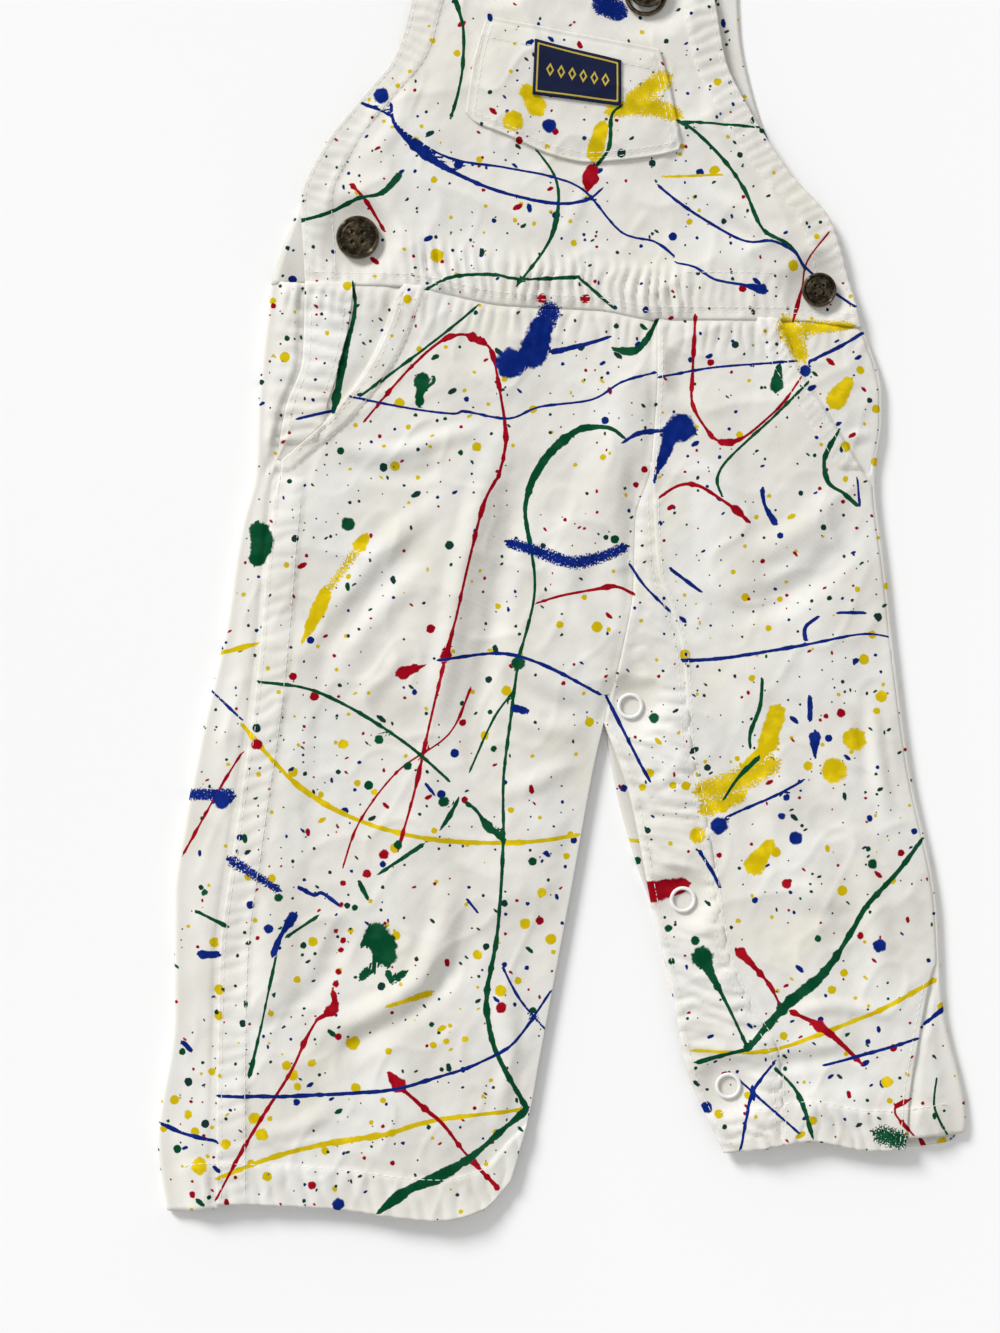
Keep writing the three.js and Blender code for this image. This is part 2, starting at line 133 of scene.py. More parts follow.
def moved(edge, by):
    return lambda y: edge(y) + by


bib_left = down([(-51, 249), (-62, 212), (-69, 188), (-84, 169),
                 (-99, 150), (-109, 126), (-108, 109), (-107, 91)])
bib_right = down([(60, 226), (64, 212), (69, 185), (77, 168),
                  (96, 138), (113, 118), (121, 92), (126, 73)])
back_bib_left = down([(-44, 282), (-50, 237), (-59, 203), (-74, 178), (-93, 149),
                      (-113, 117), (-122, 89)])
back_bib_right = down([(66, 260), (73, 237), (75, 198), (81, 169), (92, 143),
                       (113, 118), (127, 71)])
outline_left = down([(-122, 89), (-127, 41), (-128, 14), (-134, -10), (-141, -55),
                     (-150, -94), (-158, -136), (-162, -164), (-162, -212),
                     (-169, -267), (-165, -297)])
outline_right = down([(127, 73), (135, 45), (135, 34), (132, 12), (136, -26),
                      (146, -108), (158, -170), (160, -208), (170, -260),
                      (169, -264)])
side_edge_right = down([(-107, 91), (-108, 60), (-115, 40), (-119, 18)])
placket_line = down([(-86, 91), (-90, 65), (-99, 36)])
mouth_right = down([(-66, 90), (-77, 62), (-97, 35), (-117, 18)])
side_seam_right = down([(-119, 18), (-123, -23), (-127, -71), (-137, -144),
                        (-143, -192), (-144, -247), (-144, -293)])
mouth_left = down([(91, 76), (97, 59), (107, 43), (118, 26), (129, 9)])
side_seam_left = down([(156, -194), (150, -223), (146, -246), (144, -269)])
centre_front = down([(40, 76), (40, 54), (37, 9)])
inner_right = down([(36, 9), (31, -7), (30, -36), (26, -59), (18, -92),
                    (14, -109), (5, -158), (-9, -233), (-13, -255), (-21, -284)])
placket_inner = down([(38, 9), (40, -27), (46, -45), (51, -65), (53, -99),
                      (60, -135), (69, -189), (77, -208), (90, -233), (92, -267)])
placket_outer = down([(18, -92), (29, -124), (38, -169), (47, -208),
                      (52, -235), (68, -272)])
back_placket_outer = down([(18, -92), (20, -102), (23, -119), (32, -152),
                           (38, -169), (55, -235), (70, -271)])
centre_back = down([(16, 80), (17, CROTCH_Y)])

bib_top = curve([(-51, 249), (60, 226)])
back_bib_top = curve([(-44, 282), (66, 260)])
waist = curve([(-107, 91), (-67, 90), (-23, 82), (16, 80), (40, 76),
               (91, 76), (127, 73)])
waist_up = moved(waist, INSET)
hem_right = curve([(-165, -297), (-150, -293), (-99, -295), (-51, -300),
                   (-33, -296), (-21, -284)])
hem_left = curve([(68, -272), (85, -270), (104, -267), (130, -271),
                  (162, -268), (168, -263)])


def crotch(x):
    return np.full(np.shape(x), CROTCH_Y)


SIDE_BUTTON = {"R": (-85, 111), "L": (108, 89)}
SIDE_BUTTON_R = {"R": 9, "L": 7.2}
BIB_BUTTON = {"R": (-27, 228), "L": (36, 215)}
BIB_BUTTON_R = 8
SNAPS = [(29, -85), (51, -166), (70, -244)]
SNAP_R = 5.5


# --- Folds of the front ----------------------------------------------------------------------

# The frame's own folds: a ridge from one point to another, x, y, x, y, height and width.
FRAME_FOLDS = [
    (-112, -60, -122, -205, 1.6, 14),
    (-40, 20, -62, -80, 1.3, 16),
    (34, 52, 2, -30, 1.5, 13),
    (60, 40, 74, -40, 1.4, 14),
    (104, -150, 112, -225, 1.3, 15),
    (-60, -140, -72, -262, 1.4, 18),
]

# The smaller folds: height, half width and the line that each runs along.
# A height below zero is a trough.
CREASES = [
    # wearer's right thigh: a long ridge and its trough, and the drag lines beside them
    (2.3, 9, "-22,33 -34,-3 -42,-36 -49,-74 -55,-108"),
    (-1.7, 9, "-13,23 -24,-24 -30,-57 -35,-91 -38,-124"),
    (1.3, 6, "-101,29 -84,22 -68,21 -48,27 -30,31"),
    (-0.9, 6, "-98,18 -70,11 -44,16"),
    (1.2, 8, "-45,5 -75,-20 -100,-52"),
    (-1.0, 8, "-50,-12 -78,-36 -104,-70"),
    (1.0, 8, "-56,-26 -80,-52 -100,-84"),
    (0.9, 7, "-62,-56 -86,-88"),
    (-1.1, 12, "-108,-30 -116,-90 -118,-130"),
    # inner thigh, down to the crotch
    (1.1, 6, "12,-84 -10,-72 -28,-50"),
    (-0.8, 5, "12,-90 -10,-82 -30,-66"),
    (1.0, 6, "12,-96 -8,-94 -30,-84"),
    (1.0, 7, "8,-108 -14,-118 -32,-124"),
    (1.1, 8, "22,-66 8,-44 -4,-12"),
    (-0.9, 6, "14,-70 0,-50 -12,-24"),
    # right shin: a curved fold with a trough inside it
    (2.1, 9, "-53,-145 -47,-166 -55,-192 -68,-208 -110,-225"),
    (-1.5, 9, "-36,-172 -42,-192 -72,-218 -104,-234"),
    (-1.2, 15, "-134,-150 -136,-210 -132,-262"),
    (1.1, 8, "-70,-228 -60,-255 -40,-278"),
    (1.0, 7, "-24,-190 -22,-236 -30,-270"),
    (-0.9, 7, "-90,-170 -100,-200 -128,-222"),
    (0.9, 6, "-92,-250 -112,-262 -130,-264"),
    # centre front
    (-1.8, 8, "33,23 29,-24 35,-49"),
    (1.5, 7, "42,73 44,44 55,36"),
    (1.2, 5, "20,-82 29,-77 40,-72"),
    # left leg
    (-1.9, 10, "128,-6 113,-24 92,-40 56,-46"),
    (1.5, 10, "120,8 100,-12 72,-25"),
    (1.3, 12, "64,-62 88,-100 100,-140"),
    (-1.0, 9, "60,-88 76,-118 84,-150"),
    (1.1, 5, "130,-78 133,-108 137,-137"),
    (0.9, 4, "137,-84 142,-118"),
    (-0.9, 5, "125,-84 128,-122"),
    (0.9, 4, "118,27 134,29"),
    (1.0, 8, "120,-130 132,-170 136,-206"),
    (0.9, 8, "78,-150 98,-164 124,-166"),
    (-1.3, 6, "54,-235 90,-235 128,-229"),
    (1.5, 12, "98,-248 116,-251 134,-249"),
    (1.0, 5, "90,-216 112,-210 140,-214"),
    # bib
    (1.2, 6, "57,134 80,117 100,104"),
    (-0.8, 5, "64,120 84,106"),
    (0.9, 7, "-92,136 -66,112 -56,97"),
    (0.8, 6, "-60,190 -68,160 -84,138"),
    (0.7, 6, "62,178 66,150 84,132"),
    (0.6, 5, "12,134 4,118 2,108"),
]


def places(text):
    """Points written as x,y with spaces between them."""
    return [tuple(float(v) for v in pair.split(",")) for pair in text.split()]


def rounded(points):
    """More points on a smooth line through the given ones."""
    if len(points) < 3:
        return points
    steps = 5
    p = np.array([points[0], *points, points[-1]], float)
    t = (np.arange(steps) / steps)[:, None]
    out = []
    for a, b, c, d in zip(p[:-3], p[1:-2], p[2:-1], p[3:]):
        out += list(0.5 * (2 * b + (c - a) * t + (2 * a - 5 * b + 4 * c - d) * t ** 2
                           + (3 * b - a - 3 * c + d) * t ** 3))
    return [*map(tuple, out), points[-1]]


def nearest(x, y, points):
    """Distance to a line, the side of it, -1 or 1, and how far along it, 0 to 1."""
    p = np.array(points, float)
    if len(p) == 1:
        return np.hypot(x - p[0, 0], y - p[0, 1]), np.ones(x.shape), np.zeros(x.shape)
    lengths = np.hypot(*np.diff(p, axis=0).T)
    starts = np.concatenate([[0], np.cumsum(lengths)])
    best = np.full(x.shape, 1e9)
    side = np.ones(x.shape)
    along = np.zeros(x.shape)
    for (ax, ay), (bx, by), length, start in zip(p[:-1], p[1:], lengths, starts):
        ux, uy = (bx - ax) / length, (by - ay) / length
        t = np.clip((x - ax) * ux + (y - ay) * uy, 0, length)
        distance = np.hypot(x - ax - t * ux, y - ay - t * uy)
        closer = distance < best
        best = np.where(closer, distance, best)
        side = np.where(closer, np.where(ux * (y - ay) - uy * (x - ax) < 0, -1.0, 1.0), side)
        along = np.where(closer, (start + t) / starts[-1], along)
    return best, side, along


def noise(x, y, size, seed):
    """Smooth seeded noise from -1 to 1, with waves of about the given size."""
    table = np.random.default_rng(seed).uniform(-1, 1, (128, 128))
    u, v = x / size + 64, y / size + 64
    i, j = np.floor(u).astype(int), np.floor(v).astype(int)
    s, t = smooth(u - i, 0, 1), smooth(v - j, 0, 1)
    i, j = i % 127, j % 127
    low = mix(table[i, j], table[i + 1, j], s)
    high = mix(table[i, j + 1], table[i + 1, j + 1], s)
    return mix(low, high, t)


def depth(x, y, reach):
    """How far a point is inside the silhouette, up to reach."""
    left = np.where(y > SIDE_TOP_R, bib_left(y), outline_left(y))
    right = np.where(y > SIDE_TOP_L, bib_right(y), outline_right(y))
    least = np.minimum(np.minimum(x - left, right - x), reach)
    rows = np.linspace(CROTCH_Y, HEM_Y, 13)
    for edge in (inner_right, placket_outer):
        least = np.minimum(least, nearest(x, y, list(zip(edge(rows), rows)))[0])
    return np.maximum(0, least)


def frame_under(x, y):
    """Height of the underside of the front cloth in the frame."""
    height = FRONT + LOFT * depth(x, y, LOFT_WIDTH) / LOFT_WIDTH
    for ax, ay, bx, by, high, wide in FRAME_FOLDS:
        off = np.minimum(nearest(x, y, [(ax, ay), (bx, by)])[0] / wide, 1)
        height = height + high * (1 - off * off) ** 2
    return height


def creases(x, y):
    height = np.zeros(x.shape)
    for high, wide, text in CREASES:
        distance, _, along = nearest(x, y, rounded(places(text)))
        off = np.minimum(distance / wide, 1)
        fade = smooth(along, -0.02, 0.3) * smooth(along, 1.02, 0.7)
        height += high * (1 - off) ** 2 * (1 + 2 * off) * fade
    return height


def ripple(along, pitch, wander):
    """Puckers: rounded ridges with narrow troughs between them, 0 to 1."""
    return np.abs(np.sin(np.pi * along / pitch + wander)) ** 0.8


def puckers(x, y):
    """What elastic, hems and stitched bands do to the cloth."""
    wander = 1.3 * noise(x, y, 17, 1) + 0.9 * noise(x, y, 7, 2)
    height = np.zeros(x.shape)
    above = y - waist(x)
    # elastic above the waist seam, strongest beside the centre, flat where it is stitched down
    strength = 0.35 + 0.75 * smooth(x, -70, -52) * smooth(x, 56, 46)
    strength = strength + 0.3 * smooth(x, 24, 34) * smooth(x, 58, 50)
    strength = strength * (1 + 0.45 * noise(x, y * 0.3, 9, 3))
    band = smooth(above, 0, 4) * smooth(above, 27, 13)
    height += 1.7 * strength * band * ripple(x + 0.05 * y, 4.6, wander)
    # what is left of the gathers below the seam
    band = smooth(above, 0, -2.5) * smooth(above, -20, -5)
    height += 0.8 * band * ripple(x - 0.12 * y, 5.2, wander)
    # stitched bands at the armholes
    for edge, way in ((bib_left, 1), (bib_right, -1)):
        inside = way * (x - edge(y))
        on = (above > 0) & (inside > -1)
        band = np.where(on, smooth(inside, BAND + 1.5, BAND - 1.5), 0)
        height += band * (0.35 + 0.6 * ripple(y + 0.5 * way * x, 5.4, wander))
    # felled side seam on the right, where the leg is the piece on top
    inside = x - side_seam_right(y)
    on = (y < 10) & (inside > -0.5)
    band = np.where(on, smooth(inside, BAND + 1, BAND - 1.5), 0)
    height += band * (0.5 + 0.5 * ripple(y - 0.3 * x, 6.2, wander))
    # pocket mouths: the hem, and the dip of the hip piece behind it
    for edge, way in ((mouth_right, 1), (mouth_left, -1)):
        inside = way * (x - edge(y))
        on = (above < 0) & (y > 14) & (inside > -0.3)
        band = np.where(on, smooth(inside, 10, 8), 0)
        height += band * (0.7 + 0.5 * ripple(y + way * x, 5, wander))
        on = (above < 0) & (y > 12) & (inside <= -0.3)
        height -= np.where(on, 0.9 * smooth(inside, -9, -1), 0)
    # side placket: ridges across it
    on = (above < 0) & (y > POCKET_Y) & (x < placket_line(y))
    height += np.where(on, 0.3 + 1.0 * ripple(y + 0.15 * x, 6.5, wander), 0)
    # snap placket: creases across it, sharpest below the upper snap
    on = (x > placket_outer(y)) & (x < placket_inner(y)) & (y < CROTCH_Y)
    on |= (x > inner_right(y)) & (x < placket_inner(y)) & (y < PLACKET_Y) & (y >= CROTCH_Y)
    creased = np.where(on, mix(1.0, 0.3, smooth(y, CROTCH_Y, CROTCH_Y + 25)), 0)
    height += creased * 1.3 * ripple(y + 0.35 * x, 8.5, 1.6 * wander)
    height += creased * 0.35 * ripple(y + 0.2 * x, 3.4, wander)
    # hems
    for hem, on in ((hem_right, x < 20), (hem_left, x > 20)):
        band = np.where(on & (y < -200), smooth(y - hem(x), HEM + 1.2, HEM - 1), 0)
        height += band * (0.4 + 0.6 * ripple(x + 0.25 * y, 6.8, wander))
    return height


def seams(x, y):
    """Steps and grooves where pieces are sewn: the piece on top is raised along its edge."""
    above = y - waist(x)
    height = np.where(above > 0, 0.12 * smooth(above, 4, 1), -0.1 * smooth(above, -4, -0.5))
    height -= 0.4 * smooth(np.abs(above - 3.4), 1.3, 0)
    past = x - np.where(y > PLACKET_Y, centre_front(y), inner_right(y))
    step = np.where(past > 0, 0.6 * smooth(past, 6, 1.5), -0.7 * smooth(past, -5, -0.5))
    height += np.where((above < 0) & (y > CROTCH_Y), step, 0)
    past = x - placket_inner(y)
    step = np.where(past > 0, 0.4, -0.5) * smooth(np.abs(past), 5, 0.7)
    height += np.where((y < PLACKET_Y) & (np.abs(past) < 6), step, 0)
    return height


FASTENED = (
    [(SIDE_BUTTON[side], SIDE_BUTTON_R[side]) for side in "RL"]
    + [(BIB_BUTTON[side], 12) for side in "RL"]
    + [(snap, SNAP_R) for snap in SNAPS]
)
CALM_WIDTH = 11  # over which the cloth round a fastening rises to its folds


def calm(x, y):
    """0 under what is fastened through the cloth, where it lies as in the frame, 1 elsewhere."""
    free = np.ones(x.shape)
    for (cx, cy), radius in FASTENED:
        free = free * smooth(np.hypot(x - cx, y - cy), radius, radius + CALM_WIDTH)
    return free


def under(x, y):
    """Height of the underside of the front cloth as it looks."""
    puff = 1.9 * smooth(depth(x, y, 34), 0, 34)
    broad = 0.75 * noise(x, y, 31, 4) + 0.5 * noise(x + y, (x - y) * 0.5, 13, 5)
    # crumpling: narrow ridges where smooth noise changes sign
    broad += 0.75 * (1 - np.abs(noise(x + 0.6 * y, y - 0.4 * x, 30, 10))) ** 5
    broad += 0.5 * (1 - np.abs(noise(x - 0.5 * y, 0.7 * y + 0.3 * x, 17, 11))) ** 6
    fine = (0.17 * noise(x, y, 4.2, 6) + 0.05 * noise(x, y, 2.1, 7)) * smooth(depth(x, y, 5), 0, 5)
    edge = smooth(depth(x, y, 12), 0, 12)
    extra = RAISE + puff + edge * (1.25 * creases(x, y) + broad) + fine + puckers(x, y) + seams(x, y)
    return frame_under(x, y) + calm(x, y) * np.maximum(extra, 0)


def top(x, y):
    return under(x, y) + THICK


# --- Paint print -----------------------------------------------------------------------------

# The main threads, splashes and some of the drops, charted in whole millimetres: half
# widths, the line that each was thrown along, and how dry the brush was, or that the points are
# separate dots. The other drops are specks in the material.
PAINT = {
    "yellow": """
    3.2 4 | -14,171 -10,165
    2.8 3.6 | 17,156 14,146
    3 5 4 | 21,163 35,165 47,162 | 0.5
    3 5 | 29,168 42,176 | 0.5
    2.8 | -52,103 | 0.2
    0.7 | 43,136 67,137 | 0.2
    6 4 | 95,73 100,62 | 0.52
    4 2 | 103,73 121,74 | 0.52
    4.2 2.6 | 115,43 120,50
    2.2 2.8 | -82,-15 -84,-18 | 0.15
    3.4 2.6 | -86,-21 -97,-36 | 0.66
    2.4 3.3 2.2 | -98,-37 -102,-46 -105,-52 | 0.15
    2 0.9 | -105,-53 -108,-58 | 0.45
    0.9 1.6 0.9 | -143,-63 -135,-61 -127,-59
    1.25 | -133,-93 -110,-118 -84,-133 -51,-141 -17,-142 7,-139
    1.3 1.6 1 | -143,-282 -122,-274 -99,-268 -74,-264 -53,-258 -16,-254 | 0.15
    1 1.8 | -72,-210 -55,-205 | 0.45
    3.8 4 | 90,-88 86,-101
    5 6 5 | 60,-120 72,-117 87,-110 | 0.52
    4 3 | 61,-128 75,-123 | 0.52
    2.6 2 | 84,-104 75,-113 | 0.3
    3.4 | 57,-139 | 0.4
    4.4 2.4 | 81,-151 87,-143
    1 1.4 | 55,-229 86,-229 110,-221 135,-211 156,-200
    4.2 1.9 2.9 2.6 3.4 5.2 | -20,159 -69,-181 -87,-226 -125,-264 -151,-277 114,-112 | dots
    4.6 2.4 2.4 1.7 2.3 2.1 | 123,-99 136,-242 -112,-239 -110,-244 -128,-257 -140,-268 | dots
    2.1 2.3 2 2.4 2.1 | -8,-163 -15,-176 -35,-189 -25,-204 -91,-101 | dots
    1.9 1.7 1.7 1.5 1.4 1.5 | -156,-256 -146,-238 -104,-234 -72,-229 -48,-225 -40,-224 | dots
    1.4 1.6 2 2.4 1.5 1.9 1.6 | -78,-121 -18,-200 103,-110 134,-81 132,-87 37,-113 34,-119 | dots
    """,
    "red": """
    1.7 2 1.5 | 13,139 12,135 11,131
    0.9 1.3 0.6 | -87,132 -84,129 -80,124 -74,114
    0.7 | 112,113 103,101 101,90 97,76
    1 | 56,77 55,55 55,40 63,27
    1 1 0.9 0.8 0.7 | 63,27 68,25 76,27 86,35 93,42 100,52
    1.9 | 67,25 71,25
    0.9 1.2 1 1.5 | 41,2 49,7 57,7 67,1 74,-4 78,-8
    0.7 0.8 1 1.1 1 | -82,34 -65,54 -52,66 -43,70 -34,69
    1.9 | -37,69 -33,67
    1 0.9 1.2 1 | -33,67 -29,63 -26,49 -23,27 -26,11
    1 0.9 | -26,11 -32,0 -38,-23 -44,-49 -48,-64
    0.9 | -49,-68 -55,-93 -61,-120 -68,-145
    2.9 0.8 | -66,-71 -57,-68
    0.7 | -38,-78 -47,-97 -68,-112 -84,-133 -91,-152
    1.3 1.3 1.1 1.3 1.2 1.4 1.4 | -91,-159 -92,-168 -94,-179 -91,-183 -92,-187 -93,-196 -94,-201 | dots
    1.2 1.9 1.2 | -95,-205 -95,-211 -102,-216
    0.9 1.2 0.8 | -102,-216 -107,-225 -113,-238 -125,-257 -135,-274 -144,-291
    0.8 1 0.9 1.2 | -10,-42 0,-39 16,-36 23,-35 30,-38
    0.7 | -133,-104 -143,-120 -158,-147
    1.8 3.2 | -71,-239 -68,-243
    1.2 1.5 0.9 1.6 | -68,-243 -57,-253 -49,-260 -40,-272 -27,-286
    4.8 3 | 38,-163 51,-160
    2.4 1.1 0.8 | 75,-188 86,-200 91,-209
    1.2 1.7 1.1 | 97,-213 107,-218 116,-225 125,-234
    0.8 | 146,-249 139,-254 147,-264
    2.5 2 1.9 2.3 1.9 2.1 2.2 | -48,-64 -8,85 10,85 -127,-101 -103,-81 -74,-147 -25,-211 | dots
    1.8 | -81,-155 | dots
    1.5 1.7 1.5 1.9 2 1.5 | -154,-289 -104,-285 -93,-223 117,-88 94,-159 125,-181 | dots
    """,
    "green": """
    1 0.8 | -45,212 -41,199 -41,183 -43,171 -46,161
    1 1.2 0.9 1.8 | -109,118 -98,121 -85,127 -75,129 -68,136
    0.7 1.1 0.7 | -10,147 -3,137 -1,127 -3,114 -8,104 -18,91
    0.8 1 0.8 1.3 | -56,89 -45,94 -29,95 -16,93 7,94
    1 0.8 | 7,94 13,89 22,81
    0.7 1.3 1.8 1.6 | -87,92 -86,80 -90,63 -95,38
    0.8 | -35,82 -42,76 -56,65 -84,44
    2.5 2 2.1 | -58,49 -59,45 -59,42
    0.7 | -56,48 -53,50 -53,52
    1.2 1.3 1.8 1.2 | 40,76 35,67 30,63 22,64
    1 1.5 1.9 1.9 1.3 1 | 26,27 20,31 9,31 1,26 -6,19 -12,9 -15,-3 -13,-17
    0.9 0.8 | -13,-17 -11,-31 -12,-44 -18,-66
    0.8 | 103,50 88,35 78,26 68,16 65,9 67,3
    1.2 2.9 | 91,57 90,49
    0.9 1.4 0.8 | 116,30 111,21 110,15 112,8 118,4 124,-1
    0.8 | 49,159 67,158 84,157
    1 0.9 0.8 | 49,159 57,154 68,143 77,130 84,114 96,107 102,98
    0.8 1.3 0.8 | 25,165 21,161 20,148 15,141
    4.2 5 3.6 | -126,-12 -125,-17 -127,-23
    0.9 | -126,-75 -105,-78 -84,-88 -63,-102 -47,-116
    0.8 0.6 1.2 | -119,-190 -122,-204 -125,-218 -130,-239
    5.4 5.8 4.6 | -77,-181 -74,-186 -73,-189
    2.2 1.6 | -81,-182 -83,-185
    1.5 1 | -78,-190 -78,-196
    1.9 | -83,-198 -81,-196 | 0.42
    1.7 1.4 | -72,-197 -71,-200 | 0.35
    2.1 1.4 | -68,-198 -65,-196 | 0.42
    0.8 1.5 | -76,-155 -58,-143
    0.9 | -18,-67 -21,-90 -24,-115 -24,-138
    0.9 1.1 1.6 1.3 | -24,-138 -25,-160 -27,-183 -31,-205 -30,-219 -26,-232 -14,-254
    1.4 1.6 1.5 2.5 1.8 1.5 | -14,-254 -24,-262 -38,-274 -52,-282 -64,-287 -76,-296
    0.7 | -19,-78 -28,-90 -38,-112
    1 1.3 0.8 | 84,-74 83,-85 79,-96 79,-102
    1.6 0.7 | 82,-107 74,-115 68,-124 | 0.2
    1.2 1.4 1.5 1.5 2.4 1.8 1.5 | 151,-141 141,-154 128,-168 121,-180 110,-196 94,-210 78,-228
    1.2 | 78,-228 57,-234
    2.4 1.1 0.8 1.2 | 61,-194 70,-211 78,-228
    0.8 1.2 0.9 | 90,-237 99,-247 105,-265
    0.7 | 157,-241 156,-253 162,-265
    5 | 134,-264 141,-266 | 0.55
    1 1.2 1 2.2 1.4 1.4 | -39,-126 -36,-128 -33,-132 -30,-136 -27,-138 -24,-141
    1 1.4 0.8 | -43,-124 -46,-130 -50,-136
    0.9 1 | -152,-171 -140,-177
    1.3 0.8 1 | -102,-173 -108,-177 -114,-181
    1.6 1.2 | -84,-159 -81,-165
    3.3 2.8 2.8 4.5 2.2 1.8 1.9 | -58,51 -18,-67 -89,-9 59,-190 -49,-125 -12,-150 -76,-99 | dots
    1.9 1.9 2 2.2 | -68,-143 -118,-165 130,-151 39,-90 | dots
    1.6 1.2 1.4 1.8 1.5 1.6 | -149,-163 -54,-218 -28,-103 -64,-110 107,-182 45,-178 | dots
    1.9 | 56,-183 | dots
    """,
    "blue": """
    0.7 | -83,167 -72,162 -66,155 -47,144 -24,140 -4,136 10,130 25,113 39,109 47,103
    0.8 1.3 2.2 1.4 1 0.9 1.1 1 0.7 | -71,166 -69,157 -59,147 -45,138 -26,130 -4,125 10,126 17,131
    4.8 | 18,208 23,206 | 0.4
    0.8 | 41,132 51,124 67,114 78,109 88,109 97,105 102,99 115,88 123,82
    0.6 0.7 0.8 0.8 0.9 2.2 | 48,100 56,98 64,93 75,91 84,89
    0.7 | -88,44 -62,39 -45,37 -40,38 -22,35 -9,40 13,43 25,50 39,54
    0.9 | -110,35 -96,38
    0.7 | 41,52 55,55 70,57 98,59
    0.9 | 104,59 118,66 126,71
    6 5 | -12,62 -8,73
    5 | -5,79 | 0.45
    1.6 1 | -3,63 10,66 20,69
    3 2.6 1.6 | 46,29 43,20 40,13
    1.3 | 40,14 39,9 | 0.55
    1.3 1.1 1 | 43,30 33,29 26,25
    0.7 | 124,10 125,-1
    2.4 3 3 2.4 | -21,-17 -11,-20 4,-25 16,-23 26,-19 | 0.5
    1.6 0.9 1.7 | 84,5 85,-1 89,-8
    1.2 0.8 1 | 46,-28 58,-37
    0.9 | -51,-66 -26,-63 -7,-68 16,-80
    0.9 | 19,-81 32,-107 37,-116
    0.7 | 29,-26 35,-35 45,-45
    0.7 | -147,-78 -133,-91
    2.7 3 | -155,-122 -139,-122 | 0.5
    3.2 | -142,-125 | 0.3
    3 2 | -137,-150 -119,-161 | 0.55
    1.3 1.1 1 | -109,-161 -103,-164 -100,-163 -93,-168
    2.2 1.3 1.7 | -112,-173 -117,-181 -120,-188
    1 1.2 0.9 0.7 | -143,-248 -116,-248 -92,-247 -70,-245 -48,-239 -34,-234 -19,-225 -4,-204
    0.7 | -24,-195 -17,-208 -6,-221
    1 | -167,-260 -157,-264 -144,-267
    1.2 1 0.8 0.6 | 51,-66 68,-65 99,-60 125,-55 137,-56
    1.4 1 | 102,-57 102,-52 107,-48
    0.9 | 116,-46 127,-46
    1.6 | 104,-82 104,-90
    2.6 1 | 106,-98 106,-106
    0.8 | 70,-131 88,-123 101,-116
    0.8 1.3 0.8 | 58,-146 63,-154 66,-160
    0.8 1 0.8 | 110,-235 125,-231 149,-224
    1.1 | 152,-218 160,-212
    0.8 | 89,-234 80,-247 75,-270
    0.7 | 75,-242 99,-263
    1.7 1.7 | -150,-189 -144,-189
    0.9 0.7 | -39,-166 -35,-171
    1.2 0.7 | -56,-118 -53,-122
    1.6 1.2 | -158,-226 -155,-229
    1.9 1.4 | -19,-86 -15,-87
    3.4 2 2.8 2.4 6.2 6 2.6 3.6 | -75,170 -43,141 -5,157 102,55 -21,58 50,31 -93,-293 66,-135 | dots
    2.7 2.7 2.4 2 | 98,-140 133,-185 61,-253 -122,-178 | dots
    1.6 1.5 1.4 1.4 | 92,-131 94,-123 129,-132 81,-166 | dots
    """,
}
PAINT_COLOURS = {
    "yellow": (0.58, 0.43, 0.003),
    "red": (0.285, 0.001, 0.008),
    "green": (0.001, 0.056, 0.020),
    "blue": (0.002, 0.015, 0.155),
}
FAR = 50.0  # offset in half widths, and distance in mm, where no paint is near
THREAD = 1.6  # half width below which a stroke is a thread
THREAD_THIN = 0.74  # that a thread has dried to
PAINT_REACH = 6.0  # in mm, past a stroke's half width, that its offset and distance are known
BEADS = {"yellow": 0.3, "red": 0.7, "green": 0.35, "blue": 0.3}  # how uneven a thread is
BEAD_PITCH = 3.0
PRINT_TURN_X = 20  # twice the x of the line that the print of the back is turned over at


def prepared():
    """Every stroke as half widths, points and dryness, by colour. Dots and blobs have the width
    in the chart, and threads have dried to less."""
    out = {}
    for colour, text in PAINT.items():
        out[colour] = []
        for line in text.strip().splitlines():
            widths, points, *look = line.split("|")
            widths, points = [float(width) for width in widths.split()], places(points)
            if look and look[0].strip() == "dots":
                out[colour] += [([width], [point], 0) for width, point in zip(widths, points)]
                continue
            widths = [width if width > THREAD else width * THREAD_THIN for width in widths]
            out[colour].append((widths, rounded(points), float(look[0]) if look else 0))
    return out


STROKES = prepared()


def paint(x, y, colour):
    """For each point, its offset from the nearest stroke in half widths, its distance from the
    stroke's edge in mm, and how dry that stroke is."""
    flat_x, flat_y = x.ravel(), y.ravel()
    offset = np.full(flat_x.shape, FAR)
    outside = np.full(flat_x.shape, FAR)
    dryness = np.zeros(flat_x.shape)
    for number, (widths, points, dry) in enumerate(STROKES[colour]):
        p = np.array(points)
        reach = max(widths) + PAINT_REACH
        near = np.nonzero(
            (flat_x > p[:, 0].min() - reach) & (flat_x < p[:, 0].max() + reach)
            & (flat_y > p[:, 1].min() - reach) & (flat_y < p[:, 1].max() + reach))[0]
        if not len(near):
            continue
        distance, side, along = nearest(flat_x[near], flat_y[near], points)
        width = np.interp(along, np.linspace(0, 1, len(widths)), widths)
        length = np.hypot(*np.diff(p, axis=0).T).sum()
        if length > 0:
            beads = noise(along * length, np.full(along.shape, 7.3 * number), BEAD_PITCH, 30)
            uneven = BEADS[colour] * (1.8 * np.maximum(beads, 0) - 0.35)
            width = width * (1 + uneven * smooth(width, THREAD + 1, THREAD))
        closer = distance - width < outside[near]
        chosen = near[closer]
        outside[chosen] = (distance - width)[closer]
        offset[chosen] = (side * distance / width)[closer]
        dryness[chosen] = dry
    return np.stack([offset, outside, dryness], axis=-1)


